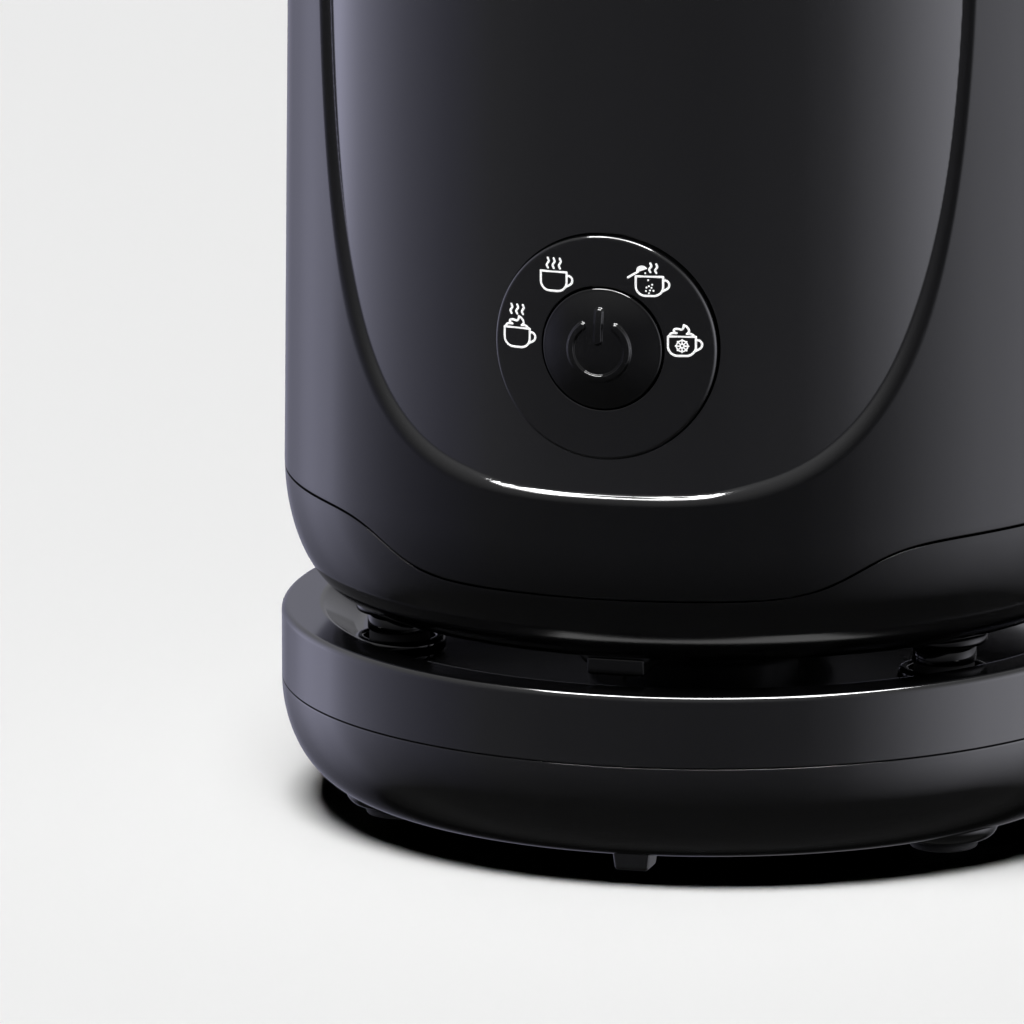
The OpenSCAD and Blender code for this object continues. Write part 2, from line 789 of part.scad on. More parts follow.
module powder_cap()
  color([0.12, 0.12, 0.13])
    rotate_extrude()
      polygon(concat(
        [[0, cap_plug_z + 1.6], [neck_r - 3.2, cap_plug_z + 1.6], [neck_r - 3.2, cap_plug_z],
         [neck_r - 1.2, cap_plug_z], [neck_r - 1.2, 181], [neck_r - 2, 181], [neck_r - 2, 183],
         [neck_r - 0.3, 183], [neck_r - 0.3, neck_top_z + 0.1], [cap_r, neck_top_z + 0.1]],
        arc(cap_r - 1, neck_top_z + 1.1, 1, 1, 0, 90, 5),
        arc(cap_r - 1, 195, 10.1, 195 - neck_top_z - 2.1, 270, 180, 8),
        arc(0, 196.6, 11, 3.6, 0, 90, 12)));

module cap_seal() color([0.30, 0.30, 0.31]) tube(neck_r - 0.1, neck_r - 2, 181.1, 182.9);

// ---------- which parts to draw ----------

base_top_cover();
base_bottom_cover();
base_connector();
base_contacts();
base_foot_pads();
base_screws();
cord_gland();
cord_clamp();
clamp_screws();
base_connector_screws();
jug_lower_shell();
jug_foot_pads();
jug_screws();
jug_shell();
jug_connector();
jug_contacts();
jug_connector_screws();
rim_collar();
inner_cup();
cup_gasket();
whisk_spindle();
heater_plate();
heater_element();
temperature_sensor();
thermal_fuse();
motor_bracket();
bracket_screws();
motor_can();
motor_end_cap();
field_magnets();
motor_bushes();
power_board();
power_board_screws();
control_ring();
mode_board();
mode_board_screws();
mode_leds();
tact_switch();
handle_shell();
handle_grip();
handle_screws();
power_button();
switch_plunger();
motor_shaft();
armature();
magnet_carrier();
drive_magnets();
whisk_hub();
whisk_coil();
whisk_magnets();
lid_frame();
lid_window();
lid_seal();
powder_cap();
cap_seal();
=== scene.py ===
"""A black milk frother: a heated jug with a whisk, a lid and a ring of controls, on a corded power base.

Lengths in this script are millimetres until a mesh is made, and heights are above the table.
"""

import json
import math

import bpy
import numpy as np
from mathutils import Matrix, Vector


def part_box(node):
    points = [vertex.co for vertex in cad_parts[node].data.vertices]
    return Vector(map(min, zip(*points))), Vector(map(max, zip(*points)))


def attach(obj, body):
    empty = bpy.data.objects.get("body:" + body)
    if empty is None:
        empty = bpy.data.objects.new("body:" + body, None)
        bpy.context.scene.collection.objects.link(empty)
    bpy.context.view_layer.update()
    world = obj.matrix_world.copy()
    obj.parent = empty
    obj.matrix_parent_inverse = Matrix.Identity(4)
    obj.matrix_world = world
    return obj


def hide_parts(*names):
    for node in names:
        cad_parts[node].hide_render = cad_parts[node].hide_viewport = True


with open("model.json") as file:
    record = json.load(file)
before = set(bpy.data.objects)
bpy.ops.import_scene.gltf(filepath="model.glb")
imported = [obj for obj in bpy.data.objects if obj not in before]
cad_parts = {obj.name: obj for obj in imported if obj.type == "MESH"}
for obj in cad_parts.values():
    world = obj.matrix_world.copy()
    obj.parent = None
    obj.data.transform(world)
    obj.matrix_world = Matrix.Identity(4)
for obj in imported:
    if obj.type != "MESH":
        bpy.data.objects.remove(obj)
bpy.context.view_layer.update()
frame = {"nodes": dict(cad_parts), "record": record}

MM = 0.001
TAU = 2 * math.pi


def box_mm(node):
    """A CAD node's lowest and highest corner, in millimetres to the nearest tenth."""
    return [[round(c / MM, 1) for c in corner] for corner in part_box(node)]


def heights(node):
    """A CAD node's lowest and highest point above the table, in millimetres."""
    return [corner[2] for corner in box_mm(node)]


# ---------- driving sizes, from the frame ----------

BASE_R = round(box_mm("base_top_cover")[1][0])
RIM_Z = 27.6
BASE_SEAM_Z = heights("base_bottom_cover")[1]
BASE_SEAM_HALF = 0.08
TRAY_Z = heights("jug_foot_pads")[0]
RIM_W = 5.7
FOOT_R = 45.0
FOOT_ANGLES = [math.radians(a) for a in (-60, 60, 180)]
WALL = 2.4

JUG_BASE_Z = heights("jug_connector")[0]
JUG_TOP_Z = heights("jug_shell")[1]
JUG_R = 59.5
JUG_TOP_R = 58.3
JUG_FLAT_R = 50.5
JUG_CURVE_Z = 48.5
JUG_WALL = 2.6
SEAM_FRONT_Z, SEAM_SIDE_Z = 40.5, 47.55
SEAM_RISE, SEAM_SPREAD = math.radians(34.25), math.radians(7.05)
SEAM_GAP = 0.24

RING_LOW, RING_HIGH = box_mm("control_ring")
CTRL_Z = (RING_LOW[2] + RING_HIGH[2]) / 2
RING_R = (RING_HIGH[0] - RING_LOW[0]) / 2
RING_FACE = -RING_LOW[1]
BUTTON_R = 8.4
BUTTON_EDGE = 60.0
BUTTON_BACK = 56.2
RING_LEDGE = 57.4

PANEL_DEPTH = 1.1
PANEL_HALF_W = 54.7
PANEL_LOW_Z = 54.6
PANEL_SIDE_Z = 172.0
PANEL_CHAMFER = 1.75
PANEL_POWER = 3.37

RIM_TOP_Z = heights("rim_collar")[1]
CUP_R = 47.0
CUP_FLOOR_Z = heights("whisk_spindle")[0]
CUP_LIP_Z = 169.0
CHUTE_R = 18.0

CAMERA_AZIMUTH = math.radians(14.6)


# ---------- shapes as arrays of points and faces ----------


def face_weighted_normals(points, faces):
    """Vertex normals in which a large flat face outweighs the small faces of a fillet."""
    normals = np.zeros_like(points)
    for size in {len(f) for f in faces}:
        index = np.array([f for f in faces if len(f) == size])
        corners = points[index]
        area = np.zeros((len(index), 3))
        for k in range(1, size - 1):
            area += np.cross(corners[:, k] - corners[:, 0], corners[:, k + 1] - corners[:, 0])
        for k in range(size):
            np.add.at(normals, index[:, k], area)
    length = np.linalg.norm(normals, axis=1, keepdims=True)
    return normals / np.maximum(length, 1e-12)


def grid_faces(rows, columns, rows_closed, columns_closed, skip=None):
    """Quads over a rows x columns grid of points, numbered row by row."""
    faces = []
    for i in range(rows if rows_closed else rows - 1):
        for j in range(columns if columns_closed else columns - 1):
            if skip is not None and skip[i, j]:
                continue
            a, b = i * columns + j, i * columns + (j + 1) % columns
            c, d = ((i + 1) % rows) * columns + (j + 1) % columns, ((i + 1) % rows) * columns + j
            faces.append((a, b, c, d))
    return faces


def rounded(corners, closed=True, step=12):
    """An outline through (x, y) or (x, y, fillet radius) corners, with each fillet as an arc."""
    out, n = [], len(corners)
    for i, corner in enumerate(corners):
        here = np.array(corner[:2], float)
        radius = corner[2] if len(corner) > 2 else 0
        if radius <= 0 or (not closed and i in (0, n - 1)):
            out.append(tuple(here))
            continue
        before = np.array(corners[i - 1][:2], float) - here
        after = np.array(corners[(i + 1) % n][:2], float) - here
        before_len, after_len = np.linalg.norm(before), np.linalg.norm(after)
        before, after = before / before_len, after / after_len
        half = math.acos(max(-1, min(1, before @ after))) / 2
        reach = min(radius / math.tan(half), 0.49 * before_len, 0.49 * after_len)
        radius = reach * math.tan(half)
        centre = here + (before + after) / np.linalg.norm(before + after) * radius / math.sin(half)
        start, end = here + before * reach - centre, here + after * reach - centre
        a0, a1 = math.atan2(start[1], start[0]), math.atan2(end[1], end[0])
        turn = (a1 - a0 + math.pi) % TAU - math.pi
        steps = max(2, round(abs(math.degrees(turn)) / step))
        for k in range(steps + 1):
            a = a0 + turn * k / steps
            out.append((centre[0] + radius * math.cos(a), centre[1] + radius * math.sin(a)))
    return out


def lathe(outline, segments=144, shape=None):
    """A closed (radius, height) outline turned about Z. Runs counter-clockwise with radius to the right.

    Points at radius 0 become poles. shape(radius, height, angle) may return a changed radius.
    """
    angles = np.arange(segments) * TAU / segments
    points, faces, rings = [], [], []
    for r, z in outline:
        if r < 1e-6:
            rings.append([len(points)])
            points.append((0, 0, z))
            continue
        radii = np.array([shape(r, z, a) for a in angles]) if shape else np.full(segments, r)
        rings.append(list(range(len(points), len(points) + segments)))
        points += list(zip(radii * np.cos(angles), radii * np.sin(angles), np.full(segments, z)))
    pole_ends = len(rings[0]) == 1 and len(rings[-1]) == 1
    for i in range(len(rings) - 1 if pole_ends else len(rings)):
        low, high = rings[i], rings[(i + 1) % len(rings)]
        if len(low) == 1 and len(high) == 1:
            continue
        for j in range(segments):
            k = (j + 1) % segments
            if len(low) == 1:
                faces.append((low[0], high[k], high[j]))
            elif len(high) == 1:
                faces.append((low[j], low[k], high[0]))
            else:
                faces.append((low[j], low[k], high[k], high[j]))
    return points, faces


def sweep(path, section, closed=False, up=(0, 0, 1), scale=None):
    """A (side, up) section carried along a path of points, capped at its ends unless the path is closed."""
    path = np.asarray(path, float)
    section = np.asarray(section, float)
    n, m = len(path), len(section)
    if closed:
        tangents = np.roll(path, -1, 0) - np.roll(path, 1, 0)
    else:
        tangents = np.gradient(path, axis=0)
    tangents /= np.linalg.norm(tangents, axis=1, keepdims=True)
    ups = np.asarray(up, float) * np.ones((n, 3))
    sides = np.cross(tangents, ups)
    sides /= np.linalg.norm(sides, axis=1, keepdims=True)
    ups = np.cross(sides, tangents)
    grow = np.ones(n) if scale is None else np.asarray(scale, float)
    points = (
        path[:, None]
        + section[None, :, :1] * sides[:, None] * grow[:, None, None]
        + section[None, :, 1:] * ups[:, None] * grow[:, None, None]
    ).reshape(-1, 3)
    faces = grid_faces(n, m, closed, True)
    if not closed:
        faces += [tuple(range(m - 1, -1, -1)), tuple(range((n - 1) * m, n * m))]
    return outward((points, faces))


def outward(shape):
    """The same closed surface with its faces turned outwards."""
    points, faces = np.asarray(shape[0], float), shape[1]
    volume = 0
    for f in faces:
        for k in range(1, len(f) - 1):
            volume += points[f[0]] @ np.cross(points[f[k]], points[f[k + 1]])
    return (points, faces) if volume > 0 else (points, [f[::-1] for f in faces])


def rounded_block(low, high, radius, taper=(1, 1), steps=4):
    """A box with rounded edges. taper scales X and Y at its bottom."""
    low, high = np.array(low, float), np.array(high, float)
    centre, half = (low + high) / 2, (high - low) / 2
    radius = min(radius, *(half - 1e-3))
    inner = half - radius
    lines = [
        np.concatenate([-inner[a] - radius * np.cos(np.linspace(0, math.pi / 2, steps + 1)),
                        inner[a] + radius * np.sin(np.linspace(0, math.pi / 2, steps + 1))])
        for a in range(3)
    ]
    keys, points, faces = {}, [], []

    def vertex(p):
        p = np.array(p, float)
        core = np.clip(p, -inner, inner)
        out = p - core
        length = np.linalg.norm(out)
        p = core + out / length * radius if length > 1e-9 else p
        key = tuple(np.round(p, 5))
        if key not in keys:
            keys[key] = len(points)
            points.append(p)
        return keys[key]

    for axis in range(3):
        u, v = (axis + 1) % 3, (axis + 2) % 3
        for side in (-1, 1):
            for i in range(len(lines[u]) - 1):
                for j in range(len(lines[v]) - 1):
                    corners = []
                    for a, b in ((i, j), (i + 1, j), (i + 1, j + 1), (i, j + 1)):
                        p = [0, 0, 0]
                        p[axis], p[u], p[v] = side * half[axis], lines[u][a], lines[v][b]
                        corners.append(vertex(p))
                    corners = list(dict.fromkeys(corners))
                    if len(corners) > 2:
                        faces.append(tuple(corners if side > 0 else corners[::-1]))
    points = np.array(points)
    share = (points[:, 2:] + half[2]) / (2 * half[2])
    points[:, :2] *= np.array(taper) + (1 - np.array(taper)) * share
    return points + centre, faces


def at(x=0, y=0, z=0):
    return Matrix.Translation((x, y, z))


def moved(shape, place):
    """The same shape, moved by a 4x4 matrix."""
    m = np.array(place)
    return np.asarray(shape[0], float) @ m[:3, :3].T + m[:3, 3], shape[1]


def at_feet(*shapes):
    """Copies of the shapes on each foot's own axis, one at the back and one to each side of the front."""
    places = [at(FOOT_R * math.sin(a), -FOOT_R * math.cos(a)) for a in FOOT_ANGLES]
    return [moved(shape, place) for place in places for shape in shapes]


def turned(corners, segments):
    """A solid of revolution from an outline that starts and ends on the axis, with fillets at its corners."""
    return lathe(rounded(corners, closed=False), segments)


def arc(centre, size, start, end, count):
    """Points on an ellipse about centre, whose half sizes are given, between two angles."""
    return [(centre[0] + size[0] * math.cos(t), centre[1] + size[1] * math.sin(t))
            for t in np.linspace(start, end, count)]


def circle(centre, radius, count):
    """Points evenly round a circle about centre."""
    return arc(centre, (radius, radius), 0, TAU, count + 1)[:-1]


def filled_in(outline, step):
    """A closed outline with more points along its long sides."""
    out = []
    for p, q in zip(outline, outline[1:] + outline[:1]):
        steps = max(1, int(math.dist(p, q) / step))
        out += [tuple(np.array(p) + (np.array(q) - np.array(p)) * k / steps) for k in range(steps)]
    return out


def smooth(t):
    t = np.clip(t, 0, 1)
    return t * t * (3 - 2 * t)


def add_object(name, data):
    obj = bpy.data.objects.new(name, data)
    bpy.context.scene.collection.objects.link(obj)
    return obj


# ---------- materials ----------


def plain_material(name, color, rough, metallic=0.0, ior=1.5, specular=0.5):
    m = bpy.data.materials.new(name)
    m.use_nodes = True
    shader = m.node_tree.nodes["Principled BSDF"]
    shader.inputs["Base Color"].default_value = (*color, 1)
    shader.inputs["Roughness"].default_value = rough
    shader.inputs["Metallic"].default_value = metallic
    shader.inputs["IOR"].default_value = ior
    shader.inputs["Specular IOR Level"].default_value = specular
    return m, m.node_tree, shader


def add_node(tree, kind, inputs=None, **settings):
    n = tree.nodes.new(kind)
    for key, value in settings.items():
        setattr(n, key, value)
    for key, value in (inputs or {}).items():
        if isinstance(value, bpy.types.NodeSocket):
            tree.links.new(value, n.inputs[key])
        else:
            n.inputs[key].default_value = value
    return n


def object_coordinates(tree):
    """Coordinates fixed to the piece, in millimetres."""
    source = add_node(tree, "ShaderNodeTexCoord").outputs["Object"]
    return add_node(tree, "ShaderNodeMapping", {"Vector": source, "Scale": [1 / MM] * 3}).outputs["Vector"]


def noise(tree, where, scale, detail=2.0):
    inputs = {"Vector": where, "Scale": scale, "Detail": detail}
    return add_node(tree, "ShaderNodeTexNoise", inputs).outputs["Fac"]


def ranged(tree, value, low, high, start=0.0, end=1.0, kind="LINEAR"):
    """A value between start and end, moved to lie between low and high."""
    inputs = {"Value": value, "From Min": start, "From Max": end, "To Min": low, "To Max": high}
    return add_node(tree, "ShaderNodeMapRange", inputs, interpolation_type=kind).outputs["Result"]


def maths(tree, operation, *values):
    return add_node(tree, "ShaderNodeMath", dict(enumerate(values)), operation=operation).outputs["Value"]


def scaled(tree, color, factor):
    inputs = {0: color, "Scale": factor}
    return add_node(tree, "ShaderNodeVectorMath", inputs, operation="SCALE").outputs["Vector"]


def mixed(tree, factor, first, second):
    """A colour between two."""
    inputs = {"Factor": factor, "A": first, "B": second}
    return add_node(tree, "ShaderNodeMix", inputs, data_type="RGBA").outputs["Result"]


def toned(tree, shader, factor, color, dark, light):
    """Colours a surface between a darker and a lighter tone of one colour."""
    tones = [(*[min(1, c * share) for c in color], 1) for share in (dark, light)]
    tree.links.new(mixed(tree, factor, *tones), shader.inputs["Base Color"])


def bump(tree, shader, height, strength, distance):
    inputs = {"Height": height, "Strength": strength, "Distance": distance * MM}
    tree.links.new(add_node(tree, "ShaderNodeBump", inputs).outputs["Normal"], shader.inputs["Normal"])


def moulded_plastic(name, color, rough, grain_depth=0.004, specular=0.5, panel_coat=0.0, painted_glow=0.0):
    """Injection-moulded plastic: a fine spark-eroded grain and slow changes in gloss and tone.

    A panel coat lies where the mesh's own "panel" value says so. A painted glow, an even emission that stands
    in for light, can brighten the surface.
    """
    m, tree, shader = plain_material(name, color, rough, specular=specular)
    where = object_coordinates(tree)
    slow = noise(tree, where, 1 / 14, 2)
    tree.links.new(ranged(tree, slow, rough - 0.03, rough + 0.03), shader.inputs["Roughness"])
    toned(tree, shader, noise(tree, where, 1 / 6, 3), color, 0.94, 1.06)
    bump(tree, shader, noise(tree, where, 1 / 0.35, 3), 0.5, grain_depth)
    if panel_coat:
        shader.inputs["Coat Roughness"].default_value = rough
        panel = add_node(tree, "ShaderNodeAttribute", attribute_name="panel").outputs["Fac"]
        tree.links.new(ranged(tree, panel, 0.0, panel_coat), shader.inputs["Coat Weight"])
    # Painted glow: an even white emission that brightens the surface, though it is no lamp
    if painted_glow:
        shader.inputs["Emission Color"].default_value = (1, 1, 1, 1)
        shader.inputs["Emission Strength"].default_value = painted_glow
    return m


def rubber(name, color, rough=0.75):
    """Rubber or silicone with a matt, slightly pebbled skin and a little dust in its tone."""
    m, tree, shader = plain_material(name, color, rough, ior=1.45)
    where = object_coordinates(tree)
    shader.inputs["Sheen Weight"].default_value = 0.15
    shader.inputs["Sheen Roughness"].default_value = 0.5
    toned(tree, shader, noise(tree, where, 1 / 3, 4), color, 0.85, 1.2)
    bump(tree, shader, noise(tree, where, 2.2, 3), 0.6, 0.03)
    return m


def metal(name, color, rough, scale=2.0, depth=0.004, spread=0.06):
    """Metal with a fine grain, which changes its gloss and tone."""
    m, tree, shader = plain_material(name, color, rough, metallic=1.0)
    grain = noise(tree, object_coordinates(tree), scale, 4)
    tree.links.new(ranged(tree, grain, rough - spread, rough + spread), shader.inputs["Roughness"])
    toned(tree, shader, grain, color, 0.9, 1.08)
    bump(tree, shader, grain, 0.4, depth)
    return m


def spun_steel(name, color, rough):
    """Steel turned on a lathe: fine rings in height, with the gloss changing from ring to ring."""
    m, tree, shader = plain_material(name, color, rough, metallic=1.0)
    parts = add_node(tree, "ShaderNodeSeparateXYZ", {"Vector": object_coordinates(tree)}).outputs
    flat = add_node(tree, "ShaderNodeCombineXYZ", {"X": parts["X"], "Y": parts["Y"]}).outputs["Vector"]
    radius = add_node(tree, "ShaderNodeVectorMath", {0: flat}, operation="LENGTH").outputs["Value"]
    rings = add_node(tree, "ShaderNodeCombineXYZ", {"X": maths(tree, "ADD", radius, parts["Z"])})
    lines = noise(tree, rings.outputs["Vector"], 5.0, 5)
    tree.links.new(ranged(tree, lines, rough - 0.1, rough + 0.1), shader.inputs["Roughness"])
    bump(tree, shader, lines, 0.35, 0.006)
    return m


def smoked_clear(name, color):
    """Smoked clear plastic for the lid's window."""
    m, tree, shader = plain_material(name, color, 0.06)
    shader.inputs["Transmission Weight"].default_value = 0.92
    slow = noise(tree, object_coordinates(tree), 1 / 9, 2)
    tree.links.new(ranged(tree, slow, 0.04, 0.09), shader.inputs["Roughness"])
    return m


def circuit_board(name):
    """Green solder mask with fine tracks."""
    m, tree, shader = plain_material(name, (0.02, 0.12, 0.05), 0.35)
    inputs = {"Vector": object_coordinates(tree), "Scale": 0.8}
    cells = add_node(tree, "ShaderNodeTexVoronoi", inputs, distance="MANHATTAN")
    tracks = maths(tree, "LESS_THAN", cells.outputs["Distance"], 0.32)
    tone = mixed(tree, tracks, (0.012, 0.10, 0.04, 1), (0.03, 0.19, 0.08, 1))
    tree.links.new(tone, shader.inputs["Base Color"])
    bump(tree, shader, tracks, 0.5, 0.03)
    return m


def wound_copper(name):
    """Enamelled wire wound in close turns."""
    m, tree, shader = plain_material(name, (0.55, 0.22, 0.08), 0.28, metallic=1.0)
    inputs = {"Vector": object_coordinates(tree), "Scale": 0.9}
    turns = add_node(tree, "ShaderNodeTexWave", inputs, bands_direction="Z").outputs["Fac"]
    tone = mixed(tree, turns, (0.25, 0.08, 0.03, 1), (0.72, 0.32, 0.12, 1))
    tree.links.new(tone, shader.inputs["Base Color"])
    bump(tree, shader, turns, 0.8, 0.1)
    return m


BLACK = (0.0020, 0.0020, 0.0022)
MATERIALS = {
    "base_black": moulded_plastic("base_black", BLACK, 0.11, grain_depth=0.002),
    "jug_black": moulded_plastic("jug_black", BLACK, 0.11, grain_depth=0.002, specular=0.25, panel_coat=0.8),
    "collar_black": moulded_plastic("collar_black", BLACK, 0.18),
    "grip_black": rubber("grip_black", (0.012, 0.012, 0.013), 0.55),
    "ring_black": moulded_plastic("ring_black", BLACK, 0.12, grain_depth=0.002),
    "button_black": moulded_plastic("button_black", BLACK, 0.1, grain_depth=0.001, specular=0.3),
    "rubber": rubber("rubber", (0.012, 0.012, 0.012)),
    "silicone": rubber("silicone", (0.16, 0.16, 0.17), 0.5),
    "gland_rubber": rubber("gland_rubber", (0.013, 0.013, 0.013), 0.6),
    "connector_black": moulded_plastic("connector_black", (0.013, 0.013, 0.014), 0.42),
    "contact_brass": metal("contact_brass", (0.78, 0.56, 0.24), 0.25),
    "screw_steel": metal("screw_steel", (0.60, 0.61, 0.64), 0.30),
    "cup_steel": spun_steel("cup_steel", (0.66, 0.66, 0.67), 0.24),
    "motor_steel": metal("motor_steel", (0.60, 0.61, 0.63), 0.33),
    "heater_aluminium": metal("heater_aluminium", (0.72, 0.73, 0.75), 0.42, scale=1.2, depth=0.02),
    "element_metal": metal("element_metal", (0.30, 0.28, 0.27), 0.45, scale=0.8, depth=0.02),
    "sensor_metal": metal("sensor_metal", (0.66, 0.64, 0.58), 0.35),
    "magnet_metal": metal("magnet_metal", (0.52, 0.53, 0.56), 0.22),
    "winding_copper": wound_copper("winding_copper"),
    "carrier_white": moulded_plastic("carrier_white", (0.70, 0.68, 0.62), 0.45),
    "board_green": circuit_board("board_green"),
    "led_clear": moulded_plastic("led_clear", (0.85, 0.83, 0.74), 0.18),
    "whisk_black": moulded_plastic("whisk_black", (0.010, 0.010, 0.011), 0.32),
    "whisk_steel": metal("whisk_steel", (0.68, 0.68, 0.69), 0.16, scale=3.0, spread=0.03),
    "lid_black": moulded_plastic("lid_black", BLACK, 0.18),
    "lid_clear": smoked_clear("lid_clear", (0.30, 0.30, 0.33)),
}
# The printed marks' white, with a painted glow: an emission that brightens the print, which is no lamp
PRINT_WHITE_PAINTED_GLOW = moulded_plastic("print_white_painted_glow", (0.80, 0.80, 0.80), 0.5, grain_depth=0.001, painted_glow=0.5)

for entry in frame["record"]["subparts"]:
    cad = frame["nodes"][entry["node"]]
    cad.data.materials.clear()
    cad.data.materials.append(MATERIALS[entry["material_slot"]])


def make_piece(name, body, slot, node, *shapes, material=None):
    """One object from closed shapes, riding on its body and standing for its CAD node if it has one.

    A shape is (points, faces) or (points, faces, normals).
    """
    points, faces, normals = [], [], []
    count = 0
    for shape in shapes:
        own = np.asarray(shape[0], float)
        points.append(own)
        normals.append(shape[2] if len(shape) > 2 else face_weighted_normals(own, shape[1]))
        faces += [tuple(i + count for i in f) for f in shape[1]]
        count += len(own)
    mesh = bpy.data.meshes.new(name)
    mesh.from_pydata((np.concatenate(points) * MM).tolist(), [], faces)
    mesh.polygons.foreach_set("use_smooth", [True] * len(mesh.polygons))
    mesh.validate()
    mesh.normals_split_custom_set_from_vertices(np.concatenate(normals).tolist())
    mesh.materials.append(material or MATERIALS[slot])
    obj = add_object(name, mesh)
    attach(obj, body)
    if node:
        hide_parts(node)
    return obj


# ---------- power base ----------


def base_top_cover():
    """Upper shell: upright wall, flat rim, and a dished tray with a collar in its middle and foot rings."""
    rim_in, edge, under, low = BASE_R - RIM_W, BASE_SEAM_Z + BASE_SEAM_HALF, TRAY_Z - 2, TRAY_Z - 0.1
    shell = rounded([
        (BASE_R - WALL, edge), (BASE_R, edge, 0.1), (BASE_R, RIM_Z, 1.0), (rim_in, RIM_Z, 1.3),
        (rim_in - 5, TRAY_Z, 2.5), (16, TRAY_Z, 0.5), (16, TRAY_Z + 2.6, 0.6), (14.4, TRAY_Z + 2.6, 0.6),
        (14.4, TRAY_Z, 0.3), (12.25, TRAY_Z, 0.3), (12.25, under), (rim_in - 4.8, under, 2),
        (rim_in - 0.1, TRAY_Z + 1, 2), (BASE_R - WALL, RIM_Z - 4, 0.5)], step=8)
    ring = rounded([(4.9, low), (6.5, low), (6.3, TRAY_Z + 1.5, 0.7), (4.95, TRAY_Z + 1.5, 0.4)])
    drain = rounded([(1.7, low), (3.1, low), (2.9, TRAY_Z + 0.35, 0.3), (1.7, TRAY_Z + 0.35, 0.2)])
    make_piece("tray_cover", "power_base", "base_black", "base_top_cover", lathe(shell, 256),
               *at_feet(lathe(ring, 72)), moved(lathe(drain, 48), at(0, -46.2)))


def base_bottom_cover():
    """Lower shell: rounds under to a flat floor, with a boss for each foot and a drain spout at the front."""
    top, low, flat_r, quarter = BASE_SEAM_Z - BASE_SEAM_HALF, 3.0, 50.0, math.pi / 2
    side = arc((flat_r, top), (BASE_R - flat_r, low - top), quarter, 0.02, 28)
    inner = arc((flat_r, top), (BASE_R - WALL - flat_r, low + WALL - top), 0, quarter, 20)
    bowl = [(0, low)] + side + [(BASE_R, top - 0.06), (BASE_R - 0.06, top)] + inner + [(0, low + WALL)]
    boss = [(0, 1.3)] + arc((5.3, 3.6), (2.3, -2.3), quarter, 0, 10) + [(7.6, 4.4), (0, 4.4)]
    spout = rounded_block((-1.5, -49.8, 0.35), (4.3, -44.5, 4.6), 0.5, taper=(0.8, 0.9))
    make_piece("under_cover", "power_base", "base_black", "base_bottom_cover", lathe(bowl, 256),
               *at_feet(lathe(boss, 96)), spout)


def foot_pads(name, body, node, radius, low, high):
    """Rubber pads with a rounded edge and a shallow dimple."""
    pad = turned([(0, low + 0.25), (radius * 0.45, low + 0.25, 1), (radius * 0.6, low, 0.5),
                  (radius, low, 0.35), (radius, high), (0, high)], 72)
    make_piece(name, body, "rubber", node, *at_feet(pad))


def base_connector():
    """Round connector boss with a centre socket and two ring slots."""
    low, high = heights("base_connector")
    outline = [(0, low), (13, low), (13, 17, 0.2), (12, 17, 0.2), (12, high, 0.7)]
    for slot_in, slot_out in ((8.7, 10.3), (5.4, 7.0)):
        outline += [(slot_out, high, 0.3), (slot_out, 27), (slot_in, 27), (slot_in, high, 0.3)]
    outline += [(2.4, high, 0.5), (2.4, 26.5), (0, 26.5)]
    make_piece("base_boss", "power_base", "connector_black", "base_connector", turned(outline, 128))


def cord_gland():
    """Ribbed rubber bush where the cord goes in, at the back."""
    start, wall_r, bore_r = 46.5, BASE_R + 0.05, 3.1
    outline = [(bore_r, start), (4.6, start, 0.3), (4.6, wall_r - 0.6), (5.9, wall_r - 0.2, 0.4),
               (5.9, wall_r + 1.2, 0.3)]
    for k in range(3):
        z, r = wall_r + 1.6 + 1.4 * k, 5.4 - 0.35 * k
        outline += [(r - 0.7, z, 0.2), (r - 0.8, z + 0.4, 0.2), (r, z + 0.7, 0.2), (r - 0.1, z + 1.2, 0.2)]
    outline += [(bore_r, wall_r + 6, 0.4)]
    turn = Matrix.Rotation(math.radians(150), 4, "Z") @ Matrix.Rotation(math.pi / 2, 4, "X")
    bush = moved(lathe(rounded(outline), 96), at(0, 0, 11) @ turn)
    make_piece("cord_entry_gland", "power_base", "gland_rubber", "cord_gland", bush)


# ---------- jug ----------


def seam_z(angle):
    """Height of the seam between the jug's shells: low at the front, rising to either side."""
    turn = np.abs((np.asarray(angle) + math.pi) % TAU - math.pi)
    rise = 0.5 + 0.5 * np.tanh((turn - SEAM_RISE) / SEAM_SPREAD)
    return SEAM_FRONT_Z + (SEAM_SIDE_Z - SEAM_FRONT_Z) * rise


def wall_radius(z, inset=0.0):
    """The jug's outside radius at height z, moved inwards by inset."""
    z = np.asarray(z, float)
    drop = np.clip((JUG_CURVE_Z - z) / (JUG_CURVE_Z - JUG_BASE_Z - inset), 0, 1)
    low = JUG_FLAT_R + (JUG_R - inset - JUG_FLAT_R) * np.sqrt(1 - drop**2)
    high = JUG_R - inset + (JUG_TOP_R - JUG_R) * (z - JUG_CURVE_Z) / (JUG_TOP_Z - JUG_CURVE_Z)
    return np.where(z < JUG_CURVE_Z, low, high)


def inside_panel(across, z):
    """Roughly how far inside the panel's outline a point lies, in millimetres. Outside it is negative."""
    half_h = PANEL_SIDE_Z - PANEL_LOW_Z
    u = np.abs(across) / PANEL_HALF_W
    v = np.clip(PANEL_SIDE_Z - z, 0, None) / half_h
    reach = (u**PANEL_POWER + v**PANEL_POWER + 1e-12) ** (1 / PANEL_POWER)
    power = PANEL_POWER - 1
    slope = np.hypot((u / reach) ** power / PANEL_HALF_W, (v / reach) ** power / half_h)
    return (1 - reach) / np.maximum(slope, 1e-9)


